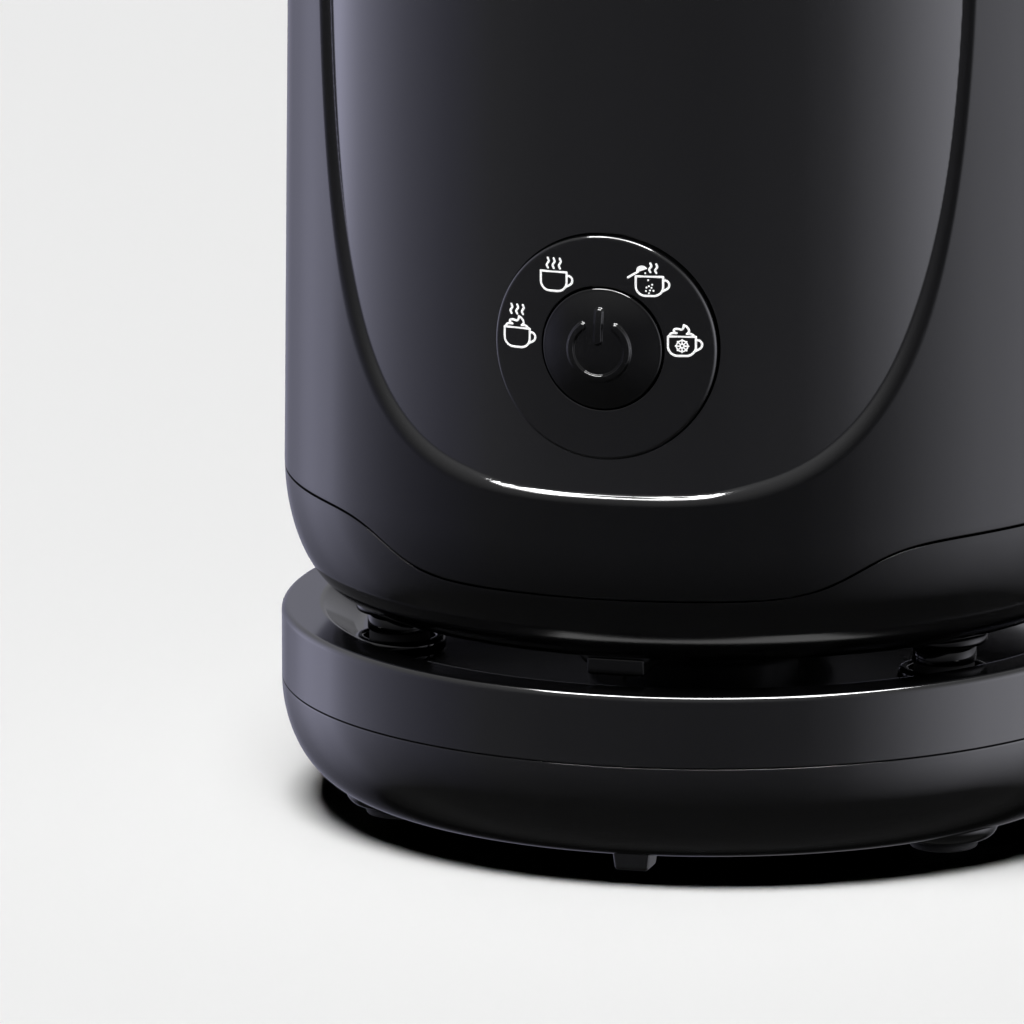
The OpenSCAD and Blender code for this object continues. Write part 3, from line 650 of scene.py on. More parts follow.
def panel_depth(angle, z):
    """How deep the front panel lies at an angle from the front and a height."""
    across, step = angle * JUG_R, 0.02
    growth = np.hypot(inside_panel(across + step, z) - inside_panel(across - step, z),
                      inside_panel(across, z + step) - inside_panel(across, z - step)) / (2 * step)
    # The edge is softer round the two lower corners
    corner = smooth((np.abs(across) - 14) / 8) * (1 - smooth((np.abs(across) - 44) / 8))
    chamfer = PANEL_CHAMFER * (1 + 0.5 * corner)
    t = np.clip(inside_panel(across, z) / np.maximum(growth, 0.5) / chamfer + 0.5, 0, 1)
    return PANEL_DEPTH * np.where(t < 0.8, 1.25 * t**2, 1 - 5 * (1 - t) ** 2)


def wall_angles():
    """Angles from the front round the jug: close together across the panel, wider apart behind."""
    side = np.concatenate([np.arange(0.3, 20, 0.6), np.arange(20, 56, 0.22), np.arange(56, 62, 0.5), [62]])
    front = np.radians(np.concatenate([-side[::-1], side]))
    back = np.linspace(math.radians(62), TAU - math.radians(62), 112)[1:-1]
    return np.concatenate([front, back])


def ring_points(angle, radius, z):
    return np.stack([radius * np.sin(angle), -radius * np.cos(angle), z + 0 * angle], -1)


def grid_normals(points):
    """Smooth normals of a grid that closes on itself along its columns."""
    along = np.roll(points, -1, 1) - np.roll(points, 1, 1)
    across = np.gradient(points, axis=0)
    normals = np.cross(along, across)
    return normals / np.maximum(np.linalg.norm(normals, axis=2, keepdims=True), 1e-12)


def wall_normals(angle, z):
    """The jug's surface normals, from small steps round and up its wall."""
    step = 0.01

    def point(a, height):
        r = wall_radius(height) - panel_depth(a, height)
        return np.stack([r * np.sin(a), -r * np.cos(a), height], -1)

    turn = (angle + math.pi) % TAU - math.pi
    along = point(turn + step / JUG_R, z) - point(turn - step / JUG_R, z)
    across = point(turn, z + step) - point(turn, z - step)
    normals = np.cross(along, across)
    return normals / np.linalg.norm(normals, axis=2, keepdims=True)


def ring_groove():
    """The panel's clean round edge just outside the control ring."""
    gap = 0.14
    flats = [(gap + 0.06, 0), (0.35, 0), (0.6, 0), (0.85, 0), (1.1, 0)]
    rows = [(gap, 2.0), (gap, 0.06), (gap + 0.02, 0.02), *flats, (1.1, 0.4)]
    turn = np.arange(288) * TAU / 288
    lean = (JUG_R - JUG_TOP_R) / (JUG_TOP_Z - JUG_CURVE_Z)
    points, normals = [], []
    for out, inset in rows:
        x, z = (RING_R + out) * np.cos(turn), CTRL_Z + (RING_R + out) * np.sin(turn)
        radius = wall_radius(z) - PANEL_DEPTH + 0.005 - inset
        y = -np.sqrt(radius**2 - x**2)
        points.append(np.stack([x, y, z], -1))
        normals.append(np.stack([x / radius, y / radius, np.full_like(x, lean)], -1))
    points = np.array(points).reshape(-1, 3)
    points, faces = outward((points, grid_faces(len(rows), len(turn), True, True)))
    edge_normals = face_weighted_normals(points, faces)
    flat = slice(3 * len(turn), (3 + len(flats)) * len(turn))
    edge_normals[flat] = np.array(normals).reshape(-1, 3)[flat]
    return points, faces, edge_normals


def jug_shell():
    """Upper shell, with the recessed front panel and the hole behind the control ring."""
    angle = wall_angles()
    columns = len(angle)
    tall, fillet = 119.25, 0.2
    heights_up = np.concatenate([
        [0, 0.06, 0.14, 0.24, 0.38], np.arange(0.8, 12, 0.5), np.arange(12, 20, 0.22), np.arange(20, 50, 0.3),
        np.arange(50, 80, 0.6), np.arange(80, tall - 0.05, 1.6), [tall]])
    rows = len(heights_up)
    bottom = seam_z(angle) + SEAM_GAP / 2
    stretch = (heights_up / tall) ** 2
    z = bottom[None, :] + heights_up[:, None] + (JUG_TOP_Z - tall - bottom)[None, :] * stretch[:, None]
    depth = panel_depth(angle[None, :], z)
    edge = np.clip(1 - heights_up / fillet, 0, 1)
    radius = wall_radius(z) - depth - (fillet * (1 - np.sqrt(1 - edge**2)))[:, None]
    outer = np.stack([radius * np.sin(angle), -radius * np.cos(angle), z], -1)
    above_fillet = (heights_up > fillet + 0.1)[:, None, None]
    normals = np.where(above_fillet, wall_normals(angle[None, :] + 0 * z, z), grid_normals(outer))
    inner_radius = wall_radius(z) - JUG_WALL
    inner = np.stack([inner_radius * np.sin(angle), -inner_radius * np.cos(angle), z], -1)

    # The hole: columns and rows inside it are left out, and its edge is drawn onto a circle
    hole_r = RING_R + 0.45
    for layer in (outer, inner):
        x, up = layer[..., 0].copy(), layer[..., 2] - CTRL_Z
        far = np.hypot(x, up)
        at_edge = (layer[..., 1] < 0) & (np.abs(far - hole_r) < 0.26)
        pull = np.where(at_edge, hole_r / np.maximum(far, 1e-9), 1)
        layer[..., 0] = x * pull
        layer[..., 2] = CTRL_Z + up * pull
    far = np.hypot(outer[..., 0], outer[..., 2] - CTRL_Z)
    inside = (far < hole_r - 1e-6) & (outer[..., 1] < 0)
    beside = np.roll(inside, -1, 1)
    skip = inside[:-1] | inside[1:] | beside[:-1] | beside[1:]
    outer_faces = grid_faces(rows, columns, False, True, skip)

    # The inner wall mirrors the outer one, and a strip joins them wherever a face has no neighbour
    count = rows * columns
    faces = outer_faces + [tuple(i + count for i in f[::-1]) for f in outer_faces]
    edges = dict.fromkeys((a, b) for f in outer_faces for a, b in zip(f, f[1:] + f[:1]))
    faces += [(b, a, a + count, b + count) for a, b in edges if (b, a) not in edges]
    used = sorted({i for f in faces for i in f})
    index = {old: new for new, old in enumerate(used)}
    points = np.concatenate([outer.reshape(-1, 3), inner.reshape(-1, 3)])[used]
    both_normals = np.concatenate([normals.reshape(-1, 3), -normals.reshape(-1, 3)])[used]
    faces = [tuple(index[i] for i in f) for f in faces]
    groove = ring_groove()
    shell = make_piece("jug_wall", "jug", "jug_black", "jug_shell", (points, faces, both_normals), groove)
    share = depth.ravel() / PANEL_DEPTH
    values = np.concatenate([np.concatenate([share, 0 * share])[used], np.ones(len(groove[0]))])
    shell.data.attributes.new("panel", "FLOAT", "POINT").data.foreach_set("value", values)


def jug_lower_shell():
    """Lower shell: from the wavy seam round to the flat underside, with foot stems and the front nose."""
    angle = wall_angles()
    top = seam_z(angle) - SEAM_GAP / 2
    fillet, opening, quarter = 0.05, 16.75, math.pi / 2
    deep = JUG_CURVE_Z - JUG_BASE_Z
    rows = [ring_points(angle, wall_radius(top, WALL), top)]
    for a in np.linspace(0, quarter, 4):
        z = top - fillet * (1 - math.cos(a))
        rows.append(ring_points(angle, wall_radius(z) - fillet * (1 - math.sin(a)), z))
    start = np.arcsin(np.clip((JUG_CURVE_Z - top + fillet + 0.2) / deep, 0, 1))
    for k in range(1, 34):
        t = start + (quarter - start) * k / 33
        radius = JUG_FLAT_R + (JUG_R - JUG_FLAT_R) * np.cos(t)
        rows.append(ring_points(angle, radius, JUG_CURVE_Z - deep * np.sin(t)))
    for radius, z in ((opening + 0.3, 0), (opening, 0.3), (opening, WALL)):
        rows.append(ring_points(angle, radius, JUG_BASE_Z + z))
    for k in range(16):
        z = np.minimum(JUG_CURVE_Z - (deep - WALL) * np.sin(quarter * (1 - k / 16)), top - 0.5)
        rows.append(ring_points(angle, wall_radius(z, WALL), z))
    bowl = outward((np.array(rows).reshape(-1, 3), grid_faces(len(rows), len(angle), True, True)))
    root = JUG_BASE_Z + 0.4
    flange = turned([(0, 29.0), (6.0, 29.0, 0.5), (6.0, root), (0, root)], 72)
    stem = turned([(0, 26.25), (4.45, 26.25, 0.3), (4.45, 29.2), (0, 29.2)], 72)
    nose = rounded_block((-6.6, -52.4, 29.7), (6.6, -44, 32.6), 0.9, taper=(0.66, 0.96))
    tip = rounded_block((-4.05, -52.7, 28.5), (4.05, -44, 31), 0.45)
    make_piece("jug_bowl", "jug", "jug_black", "jug_lower_shell", bowl, *at_feet(flange, stem), nose, tip)


def jug_connector():
    """The jug's round socket, which drops over the base's boss."""
    low, high = heights("jug_connector")
    outline = [(0, 37.3), (12.5, 37.3, 0.3), (12.5, low + 0.1, 0.6), (16.5, low + 0.1, 0.5),
               (16.5, high, 0.6), (0, high)]
    make_piece("jug_socket", "jug", "connector_black", "jug_connector", turned(outline, 128))


def rim_collar():
    """Top ring of the jug, drawn out at the front into a pouring spout."""
    high, lip, foot = RIM_TOP_Z, CUP_LIP_Z, JUG_TOP_Z + 0.15
    seat = lip - 0.7
    outline = rounded([
        (JUG_TOP_R, foot, 0.3), (JUG_TOP_R, high, 1.3), (51.9, high, 0.8), (51.9, seat, 0.3),
        (48.4, seat, 0.3), (48.4, lip - 4.5), (53.4, lip - 4.5), (53.4, JUG_TOP_Z - 8),
        (55.5, JUG_TOP_Z - 8, 0.3), (55.5, foot)], step=10)
    outline = filled_in(outline, 1.2)
    angle = wall_angles()
    turn = np.abs(np.where(angle > math.pi, angle - TAU, angle))
    bulge = np.clip(1 - (turn / math.radians(17)) ** 1.6, 0, 1) ** 1.5
    points = []
    for r, z in outline:
        rise = float(smooth((z - JUG_TOP_Z - 0.5) / (high - JUG_TOP_Z - 1)))
        if r <= 51:
            reach = 0
        elif r < 54 and z > lip:
            reach = 11.2 * float(smooth((z - lip - 0.4) / 1.6)) * (0.85 + 0.15 * rise)
        elif r < 57.5 and z > high - 1.5:
            reach = 7.6 + 3.6 * (JUG_TOP_R - r) / (JUG_TOP_R - 51.9)
        else:
            reach = 7.6 * rise
        points.append(ring_points(angle, r + reach * bulge, z))
    collar = outward((np.array(points).reshape(-1, 3), grid_faces(len(outline), len(angle), True, True)))
    make_piece("pouring_collar", "jug", "collar_black", "rim_collar", collar)


def inner_cup():
    """Deep-drawn steel cup with a rounded floor, a rolled lip and four level marks."""
    wall, corner, quarter = 0.8, 8.0, math.pi / 2
    centre = (CUP_R - corner, CUP_FLOOR_Z + corner)
    outside = arc(centre, (corner + wall, corner + wall), -quarter, 0, 14)
    inside = arc(centre, (corner, corner), 0, -quarter, 14)
    lip_r, neck, lip = 51.5, CUP_LIP_Z - 2, CUP_LIP_Z + wall
    edge = rounded([(CUP_R + wall, neck), (CUP_R + wall, CUP_LIP_Z, 0.5), (lip_r, CUP_LIP_Z, 0.35),
                    (lip_r, lip, 0.35), (CUP_R, lip, 1.2), (CUP_R, neck)], closed=False)
    cup = lathe([(0, CUP_FLOOR_Z - wall)] + outside + edge + inside + [(0, CUP_FLOOR_Z)], 192)
    bar, faces = rounded_block((-7, CUP_R - 0.35, -0.35), (7, CUP_R + 0.3, 0.35), 0.3)
    bar[:, 1] -= CUP_R - np.sqrt(CUP_R**2 - bar[:, 0] ** 2)
    marks = [moved((bar, faces), at(0, 0, height) @ Matrix.Rotation(side * quarter, 4, "Z"))
             for side in (1, -1) for height in (132, 102)]
    make_piece("steel_cup", "jug", "cup_steel", "inner_cup", cup, *marks)


def whisk_spindle():
    """A pin on the cup's floor, with a round foot."""
    floor_z, high = CUP_FLOOR_Z, heights("whisk_spindle")[1]
    outline = [(0, floor_z - 0.2), (3, floor_z - 0.2), (3, floor_z + 0.8, 0.4), (1.6, floor_z + 0.9, 0.3),
               (1.6, high, 0.9), (0, high)]
    make_piece("spindle", "jug", "cup_steel", "whisk_spindle", turned(outline, 64))


# ---------- handle ----------


def handle_path(inset):
    """The middle line of the handle's loop, from its upper root round to its lower one."""
    low, high = box_mm("handle_shell")
    top, bottom, reach, root = high[2] - inset, low[2] + inset, high[1] - inset, 57.0
    bend = 22 - inset * 0.7
    corners = [(root, top), (reach, top, bend), (reach, bottom, bend), (root, bottom)]
    return rounded(corners, closed=False, step=5)


def even(path, step):
    """The same path with its points an even distance apart."""
    path = np.asarray(path, float)
    along = np.concatenate([[0], np.cumsum(np.linalg.norm(np.diff(path, axis=0), axis=1))])
    n = max(2, int(along[-1] / step))
    where = np.linspace(0, along[-1], n + 1)
    return np.stack([np.interp(where, along, path[:, k]) for k in range(path.shape[1])], -1)


def handle_part(name, inset, thick, width, slot, node, outer_fillet, inner_fillet):
    """One half of the handle, its section's outer side turned away from the fingers."""
    half_w, half_t = width / 2, thick / 2
    section = rounded([(-half_w, -half_t, inner_fillet), (half_w, -half_t, inner_fillet),
                       (half_w, half_t, outer_fillet), (-half_w, half_t, outer_fillet)])
    path = even(handle_path(inset), 1.6)
    line = np.stack([0 * path[:, 0], path[:, 0], path[:, 1]], -1)
    outwards = np.cross((1.0, 0, 0), np.gradient(line, axis=0))
    make_piece(name, "jug", slot, node, sweep(line, filled_in(section, 1.6), up=outwards))


# ---------- controls ----------


def facing_front(shape, shift=(0, 0, 0)):
    """A shape set facing the front, its height as depth, curved like the jug ahead of the ledge."""
    x, up, depth = (np.asarray(shape[0], float) + shift).T
    sag = RING_FACE - np.sqrt(RING_FACE**2 - x**2)
    depth = depth - sag * np.clip((depth - RING_LEDGE) / 1.4, 0, 1)
    return np.stack([x, -depth, up + CTRL_Z], -1), shape[1]


def control_ring():
    """Ring round the power button, standing proud of the panel, with a ledge inside that holds the button."""
    bore, ledge_r = BUTTON_R + 0.18, 9.7
    face = [(r, RING_FACE) for r in np.arange(RING_R - 1, bore + 0.6, -0.4)]
    outline = rounded([
        (ledge_r, 55), (RING_R, 55), (RING_R, RING_FACE, 0.5), *face, (bore, RING_FACE, 0.25),
        (bore, RING_LEDGE), (ledge_r, RING_LEDGE)], step=9)
    make_piece("controls_bezel", "jug", "ring_black", "control_ring", facing_front(lathe(outline, 192)))


def symbol_height(x, y):
    """Height of the raised power mark: an open ring with an upright bar."""
    ring_r, ring_stroke, bar_stroke, raised, soft = 3.97, 0.48, 0.55, 0.42, 0.30
    gap = math.radians(36)
    angle = np.abs(np.arctan2(x, y))
    ends = np.hypot(np.abs(x) - ring_r * math.sin(gap), y - ring_r * math.cos(gap))
    ring = np.where(angle > gap, np.abs(np.hypot(x, y) - ring_r), ends)
    bar = np.hypot(x, y - np.clip(y, 1.4, 5.2))
    distance = np.minimum(ring - ring_stroke, bar - bar_stroke)
    return raised * smooth((soft / 2 - distance) / soft)


def power_button():
    """Domed button with the raised mark and a flange that keeps it in the ring."""
    segments, dome, edge = 384, 1.7, 0.35
    dome_r = BUTTON_R - edge
    angles = np.arange(segments) * TAU / segments

    def ring(r, height):
        return np.stack([r * np.cos(angles), r * np.sin(angles), height + 0 * angles], -1)

    def face(r):
        return BUTTON_EDGE + dome * (1 - (r / dome_r) ** 2)

    rings = []
    for r in np.concatenate([np.arange(0.1, 5.9, 0.085), np.linspace(5.95, dome_r, 14)]):
        rings.append(ring(r, face(r) + symbol_height(r * np.cos(angles), r * np.sin(angles) - 0.1)))
    for t in np.linspace(0.15, 1, 6) * math.pi / 2:
        rings.append(ring(dome_r + edge * math.sin(t), BUTTON_EDGE - edge * (1 - math.cos(t))))
    flange = ((BUTTON_R, 57.3), (9.2, 57.2), (9.3, 57.1), (9.3, BUTTON_BACK + 0.1), (9.2, BUTTON_BACK))
    rings += [ring(r, height) for r, height in flange]
    points = np.concatenate([*rings, [[0, 0, face(0)], [0, 0, BUTTON_BACK]]])
    top, back, last = len(points) - 2, len(points) - 1, (len(rings) - 1) * segments
    faces = [f[::-1] for f in grid_faces(len(rings), segments, False, True)]
    for j in range(segments):
        k = (j + 1) % segments
        faces += [(top, j, k), (back, last + k, last + j)]
    button = facing_front(outward((points, faces)))
    make_piece("domed_button", "power_button", "button_black", "power_button", button)


# ---------- icons ----------


def curve(points, per=8):
    """A smooth line through a few points."""
    p = [np.array(q, float) for q in points]
    p = [2 * p[0] - p[1], *p, 2 * p[-1] - p[-2]]
    out = []
    for a, b, c, d in zip(p, p[1:], p[2:], p[3:]):
        for t in np.arange(per) / per:
            bend = (c - a) * t + (2 * a - 5 * b + 4 * c - d) * t**2 + (3 * b - a - 3 * c + d) * t**3
            out.append(b + 0.5 * bend)
    out.append(p[-2])
    return out


def stroke(points, closed=False, width=0.31):
    """A printed line: a low ribbon with round ends, lying in the ring's face."""
    path = np.array([(x, y, 0) for x, y in points], float)
    section = np.array(circle((0, 0), 1, 8)) * (width / 2, 0.03)
    if closed:
        return sweep(path, section, True)
    first, last = path[0] - path[1], path[-1] - path[-2]
    first, last = first / np.linalg.norm(first), last / np.linalg.norm(last)
    cap = np.linspace(math.pi / 2, 0.15, 4)[1:]
    caps, reach = list(np.sin(cap)), np.cos(cap)[:, None] * width / 2
    scale = caps[::-1] + [1] * len(path) + caps
    path = np.concatenate([(path[0] + first * reach)[::-1], path, path[-1] + last * reach])
    return sweep(path, section, scale=scale)


def dot(x, y, r):
    points, faces = lathe([(0, -0.03), (r, 0), (r * 0.8, 0.03), (0, 0.03)], 16)
    return np.array(points) + (x, y, 0), faces


def cup_icon():
    """The cup that all four marks share, as lines in millimetres about its middle."""
    rim, low, left, right = 1.3, -1.45, -2.0, 1.85
    body = rounded([(left, rim), (left, low, 1.65), (right, low, 1.65), (right, rim)], closed=False, step=12)
    handle = curve([(right, 0.8), (2.27, 0.78), (2.6, 0.5), (2.69, 0.1), (2.45, -0.35), (1.68, -0.78)])
    return [(body, False), ([(left, rim), (right, rim)], False), (handle, False)]


def steam_icon(x, low, high):
    wave = ((0.02, 0), (-0.15, 0.28), (0, 0.5), (0.15, 0.7), (0, 1))
    return curve([(x + aside, low + up * (high - low)) for aside, up in wave]), False


def foam_icon():
    """A swirl of foam standing on the cup's rim, in four strokes."""
    lines = [
        [(-1.8, 1.45), (-1.6, 1.72), (-1.25, 1.82), (-0.8, 1.8)],
        [(-1.05, 1.9), (-1.2, 2.15), (-1.05, 2.37), (-0.6, 2.4), (-0.15, 2.32), (0.1, 2.5), (0.2, 2.95)],
        [(0.2, 2.95), (0.55, 2.75), (0.82, 2.42), (0.92, 2.1), (0.8, 1.85)],
        [(0.62, 1.72), (1.0, 1.75), (1.35, 1.62), (1.55, 1.4)],
    ]
    return [(curve(line), False) for line in lines]


def snowflake_icon(x, y):
    """Eight spokes through two rings."""
    near, far = circle((x, y), 0.3, 8), circle((x, y), 0.92, 8)
    rings = [(circle((x, y), r, 24), True) for r in (0.26, 0.78)]
    return [(spoke, False) for spoke in zip(near, far)] + rings


def spoon_bowl():
    """The filled half round of the spoon's bowl, as a thin plate."""
    edge = curve([(-1.88, 1.86), (-1.9, 2.3), (-1.66, 2.68), (-1.2, 2.86), (-0.72, 2.76), (-0.36, 2.44)])
    n = len(edge)
    points = [(x, y, z) for z in (0.03, -0.03) for x, y in edge]
    faces = [tuple(range(n))[::-1], tuple(range(n, 2 * n))]
    faces += [(k, (k + 1) % n, n + (k + 1) % n, n + k) for k in range(n)]
    return outward((points, faces))


def icons():
    """Four printed marks on the ring: hot foam, hot milk, hot chocolate and cold foam."""
    powder = [(-0.65, 1.78), (-0.24, 0.8), (0.32, 0.17), (-0.14, -0.06), (-0.48, -0.26), (0.22, -0.28),
              (-0.55, -0.76), (0.02, -0.66), (0.5, -0.69), (-0.13, -1.06)]
    chocolate = [spoon_bowl()] + [dot(x, y, 0.14) for x, y in powder]
    cold = [stroke(points, closed, 0.19) for points, closed in snowflake_icon(-0.05, -0.04)]
    spoon = [steam_icon(0.05, 1.95, 3.2), steam_icon(0.88, 1.85, 3.1), ([(-3.1, 1.1), (-1.7, 1.95)], False)]
    marks = [
        (-12.2, 0.64, foam_icon() + [steam_icon(x, 3.3, 4.6) for x in (-0.95, -0.07, 0.8)], []),
        (-6.8, 8.92, [steam_icon(x, 1.8, 3.2) for x in (-0.95, -0.07, 0.85)], []),
        (6.7, 8.92, spoon, chocolate),
        (11.1, 0.67, foam_icon(), cold),
    ]
    size, lift = (0.975, 0.975, 1), 0.07
    shapes = []
    for x, y, lines, filled in marks:
        for points, faces in [stroke(*line) for line in cup_icon() + lines] + filled:
            shapes.append(facing_front((np.asarray(points) * size, faces), (x, y + lift, RING_FACE + 0.015)))
    # The marks are drawn in the print white with its painted glow
    make_piece("mode_marks", "jug", "led_clear", None, *shapes, material=PRINT_WHITE_PAINTED_GLOW)


# ---------- whisk ----------


def whisk_hub():
    """Hub with a groove for its hoop and six fins."""
    hub = turned([
        (0, 67.3), (12.4, 67.3, 0.5), (12.6, 68.6, 0.3), (12, 69.2, 0.3), (12, 70, 0.3), (12.6, 70.6, 0.3),
        (12.5, 71.4, 0.6), (6.5, 71.9, 2), (3.4, 76.5, 3), (3.4, 80, 0.5), (4.2, 80.4, 0.3), (4.2, 82, 0.6),
        (0, 82)], 128)
    points, faces = rounded_block((3.0, -0.6, 70.8), (11.2, 0.6, 73.6), 0.4)
    points[:, 2] -= np.clip(points[:, 0] - 3, 0, 9) * 0.25 * (points[:, 2] > 72)
    fins = [moved((points, faces), Matrix.Rotation(k * TAU / 6, 4, "Z")) for k in range(6)]
    make_piece("whisk_core", "whisk", "whisk_black", "whisk_hub", hub, *fins)


def whisk_coil():
    """One spring wound into a ring round the hub, over a hoop that holds it."""
    turns, per_turn = 64, 16
    ring_r, coil_r, wire, mid_z = 16.0, 2.6, 0.4, 69.9
    t = np.arange(turns * per_turn) / (turns * per_turn) * TAU
    r = ring_r + coil_r * np.cos(turns * t)
    path = np.stack([r * np.cos(t), r * np.sin(t), mid_z + coil_r * np.sin(turns * t)], -1)
    around = np.stack([ring_r * np.cos(t), ring_r * np.sin(t), mid_z + 0 * t], -1)
    spring = sweep(path, circle((0, 0), wire, 6), True, up=path - around)
    hoop = lathe(circle((13.3, 69.6), 0.7, 16), 96)
    make_piece("whisk_spring", "whisk", "whisk_steel", "whisk_coil", spring, hoop)


# ---------- lid ----------


def dome_z(r):
    return 183 - 10 * (r / 47) ** 2


def lid_frame():
    """Ring that sits in the cup's mouth, with a groove for its seal."""
    high, ledge = heights("lid_frame")[1], CUP_LIP_Z + 0.95
    outline = rounded([
        (44, 163, 0.5), (46.6, 163, 0.6), (46.6, 165.4, 0.2), (45.6, 165.4), (45.6, 167.6),
        (46.6, 167.6, 0.2), (46.6, ledge, 0.5), (51.2, ledge, 0.5), (51.2, RIM_TOP_Z, 0.9),
        (49.6, high - 0.1, 1.5), (46.4, high, 1.2), (44.55, 175.2, 0.5), (44.55, 172.2), (44, 172.2)])
    make_piece("lid_ring", "lid", "lid_black", "lid_frame", lathe(outline, 192))


def lid_window():
    """Smoked clear dome with a tube down the middle for powder."""
    neck, top, low, edge = CHUTE_R, 184.5, 168.0, 44.45
    over = [(r, dome_z(r)) for r in np.linspace(edge, neck + 3, 16)]
    under = [(r, dome_z(r) - 1.8) for r in np.linspace(neck + 2.6, edge, 16)]
    tube = [(neck + 2, top - 1.2), (neck + 1.6, top - 0.1), (neck + 0.2, top), (neck, top - 0.3),
            (neck, low + 0.2), (neck + 0.3, low), (neck + 1.3, low), (neck + 1.6, low + 0.3)]
    make_piece("lid_dome", "lid", "lid_clear", "lid_window", lathe(over + tube + under, 192))


def lid_seal():
    """Silicone ring with two lips."""
    back, root, tip = 45.65, 46.5, 46.95
    bead = rounded([(back, 165.5, 0.2), (root, 165.5, 0.2), (tip, 166.1, 0.2), (46.6, 166.5, 0.2),
                    (tip, 166.9, 0.2), (root, 167.5, 0.2), (back, 167.5, 0.2)])
    make_piece("lid_gasket", "lid", "silicone", "lid_seal", lathe(bead, 192))


def powder_cap():
    """Cap with a waisted, fluted knob."""
    low, waist_z, quarter = 184.6, 195.0, math.pi / 2
    flange_z = low + 2.1
    knob = arc((19.6, waist_z), (10.1, waist_z - flange_z), -quarter - 0.15, -math.pi, 14)
    top = arc((0, 196.7), (11, 3.5), -0.35, quarter - 0.05, 18)
    plug = rounded([
        (0, 180.6), (14.8, 180.6, 0.3), (14.8, 179, 0.3), (16.8, 179, 0.4), (16.8, 181, 0.2), (16, 181),
        (16, 183), (17.7, 183, 0.2), (17.7, low), (20.6, low, 0.5), (20.6, low + 1.6, 0.9),
        (19.4, flange_z)], closed=False)

    def flutes(r, z, a):
        if not 188 < z < 197.5:
            return r
        share = math.sin(math.pi * (z - 188) / 9.5)
        return r * (1 - 0.035 * share * (0.5 + 0.5 * math.cos(18 * a)) ** 2)

    cap = lathe(plug + knob[1:] + top + [(0, 200.2)], 216, flutes)
    make_piece("powder_knob", "powder_cap", "lid_black", "powder_cap", cap)


# ---------- camera, light and floor ----------


def camera():
    """A long lens a little to the right of the front and above, looking level with the foot of the jug."""
    data = bpy.data.cameras.new("camera")
    data.lens = 733.7
    data.sensor_width = 36
    data.clip_end = 50
    obj = add_object("camera", data)
    elevation = math.radians(12.3)
    level = math.cos(elevation)
    back = Vector((math.sin(CAMERA_AZIMUTH) * level, -math.cos(CAMERA_AZIMUTH) * level, math.sin(elevation)))
    look = back.to_track_quat("Z", "Y").to_matrix()
    # The object stands right of the picture's middle and above it
    turn = Matrix.Rotation(math.radians(0.549), 3, "Y") @ Matrix.Rotation(math.radians(-0.346), 3, "X")
    obj.location = Vector((0, 0, 0.05808)) + back * 2.9039
    obj.rotation_euler = (look @ turn).to_euler()
    bpy.context.scene.camera = obj


def area_light(name, size, size_y, energy, place, turn):
    light = bpy.data.lights.new(name, "AREA")
    light.shape = "RECTANGLE"
    light.size, light.size_y = size, size_y
    light.energy = energy
    obj = add_object(name, light)
    obj.location = place
    obj.rotation_euler = turn.to_euler()
    return obj


def mirrored_room():
    """The world that glossy surfaces mirror: dark ahead of the object, bright to its sides, black below.

    The floor isn't lit by it, and behind the object the camera sees plain white.
    """
    world = bpy.data.worlds.new("studio")
    world.use_nodes = True
    world.cycles_visibility.diffuse = False
    tree = world.node_tree
    tree.nodes.clear()
    inputs = {"Vector": add_node(tree, "ShaderNodeTexCoord").outputs["Generated"], "Angle": -CAMERA_AZIMUTH}
    view = add_node(tree, "ShaderNodeVectorRotate", inputs, rotation_type="Z_AXIS").outputs["Vector"]
    parts = add_node(tree, "ShaderNodeSeparateXYZ", {"Vector": view}).outputs
    around = maths(tree, "ARCTAN2", parts["X"], maths(tree, "MULTIPLY", parts["Y"], -1.0))
    ramp = add_node(tree, "ShaderNodeValToRGB", {"Fac": ranged(tree, around, 0, 1, -math.pi, math.pi)})
    # Brightness by the angle round from the camera, in degrees to its right
    full = 4.0
    stops = [(-180, 0.35), (-160, 0.35), (-150, 0.6), (-138, 1.25), (-125, 1.7), (-114, 1.2), (-95, 0.76),
             (-78, 0.46), (-63, 0.33), (-45, 0.26), (0, 0.22), (24, 0.27), (36, 0.46), (49, 1.02), (62, 1.85),
             (77, 2.8), (91, 3.1), (105, 2.2), (120, 1.0), (140, 0.45), (160, 0.35), (180, 0.35)]
    elements = ramp.color_ramp.elements
    while len(elements) < len(stops):
        elements.new(0.5)
    for element, (angle, light) in zip(elements, stops):
        element.position = (angle + 180) / 360
        cool = 1.3 if angle < -70 else 1.1
        element.color = (light / full, light / full, light * cool / full, 1)
    sides = scaled(tree, ramp.outputs["Color"], full)
    high = ranged(tree, parts["Z"], 0, 1, 0.0, 0.75, "SMOOTHSTEP")
    sky = mixed(tree, high, sides, (0.8, 0.8, 0.82, 1))
    table = ranged(tree, parts["Y"], 0.085, 0.01, 0.3, 0.6)
    grey = add_node(tree, "ShaderNodeCombineXYZ", {axis: table for axis in "XYZ"}).outputs["Vector"]
    beyond = ranged(tree, parts["Y"], 0, 1, -1.0, 0.0)
    above = ranged(tree, maths(tree, "MULTIPLY_ADD", beyond, -0.14, parts["Z"]), 0, 1, -0.76, -0.28)
    path = add_node(tree, "ShaderNodeLightPath").outputs
    direct = scaled(tree, mixed(tree, above, grey, sky), maths(tree, "LESS_THAN", path["Diffuse Depth"], 0.5))
    final = mixed(tree, path["Is Camera Ray"], direct, (0.922, 0.922, 0.922, 1))
    shade = add_node(tree, "ShaderNodeBackground", {"Color": final, "Strength": 1.0})
    out = add_node(tree, "ShaderNodeOutputWorld")
    tree.links.new(shade.outputs["Background"], out.inputs["Surface"])
    bpy.context.scene.world = world


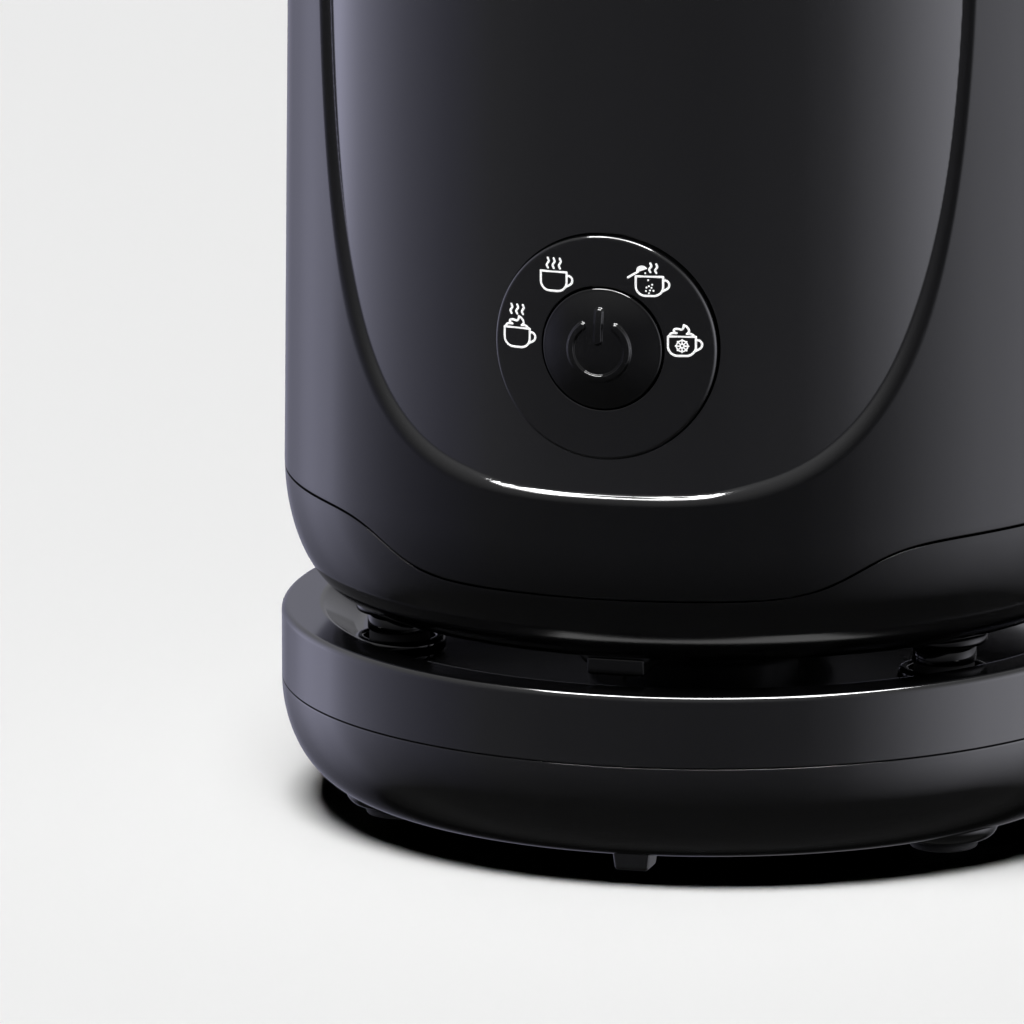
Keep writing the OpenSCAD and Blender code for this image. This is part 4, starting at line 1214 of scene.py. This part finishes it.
def studio():
    """The room, a softbox that only shows in glossy surfaces, and a panel that lights everything else."""
    mirrored_room()
    down = Vector((0, 0, -1)).to_track_quat("-Z", "Y")
    area_light("overhead_softbox", 1.0, 0.66, 130, (0, 0, 1.15), down).visible_diffuse = False

    # Far up, so that it lights the floor evenly. Its width softens the shadow's sides more than its front
    distance = 10.0
    width, depth = [2 * distance * math.tan(math.radians(a)) for a in (13, 8)]
    left = Vector((-math.cos(CAMERA_AZIMUTH), -math.sin(CAMERA_AZIMUTH), 0))
    near = Vector((math.sin(CAMERA_AZIMUTH), -math.cos(CAMERA_AZIMUTH), 0))
    towards = (Vector((0, 0, 1)) + (left + near) * math.tan(math.radians(9))).normalized()
    across = towards.cross(left).cross(towards).normalized()
    turn = Matrix((across, towards.cross(across), towards)).transposed()
    power = 3.5 * math.pi * distance**2
    area_light("overhead_panel", width, depth, power, towards * distance, turn).visible_glossy = False


def floor():
    """A plain pale floor, which the glossy parts don't mirror."""
    half = 20.0
    mesh = bpy.data.meshes.new("floor")
    corners = [(-half, -half, 0), (half, -half, 0), (half, half, 0), (-half, half, 0)]
    mesh.from_pydata(corners, [], [(0, 1, 2, 3)])
    mesh.materials.append(plain_material("pale_floor", (0.82, 0.82, 0.82), 0.9, specular=0.0)[0])
    obj = add_object("floor", mesh)
    obj.visible_glossy = False


camera()
studio()
floor()
bpy.context.scene.view_settings.view_transform = "Standard"

base_top_cover()
base_bottom_cover()
foot_pads("base_pads", "power_base", "base_foot_pads", 4.7, 0.0, 1.5)
base_connector()
cord_gland()

jug_shell()
jug_lower_shell()
foot_pads("jug_pads", "jug", "jug_foot_pads", 4.2, TRAY_Z, 26.3)
jug_connector()
rim_collar()
inner_cup()
whisk_spindle()
handle_part("handle_back", 4.0, 7.9, 22, "collar_black", "handle_shell", 5.0, 0.6)
handle_part("handle_grip_pad", 10.5, 4.9, 20.8, "grip_black", "handle_grip", 0.6, 2.3)

control_ring()
power_button()
icons()

whisk_hub()
whisk_coil()

lid_frame()
lid_window()
lid_seal()
powder_cap()
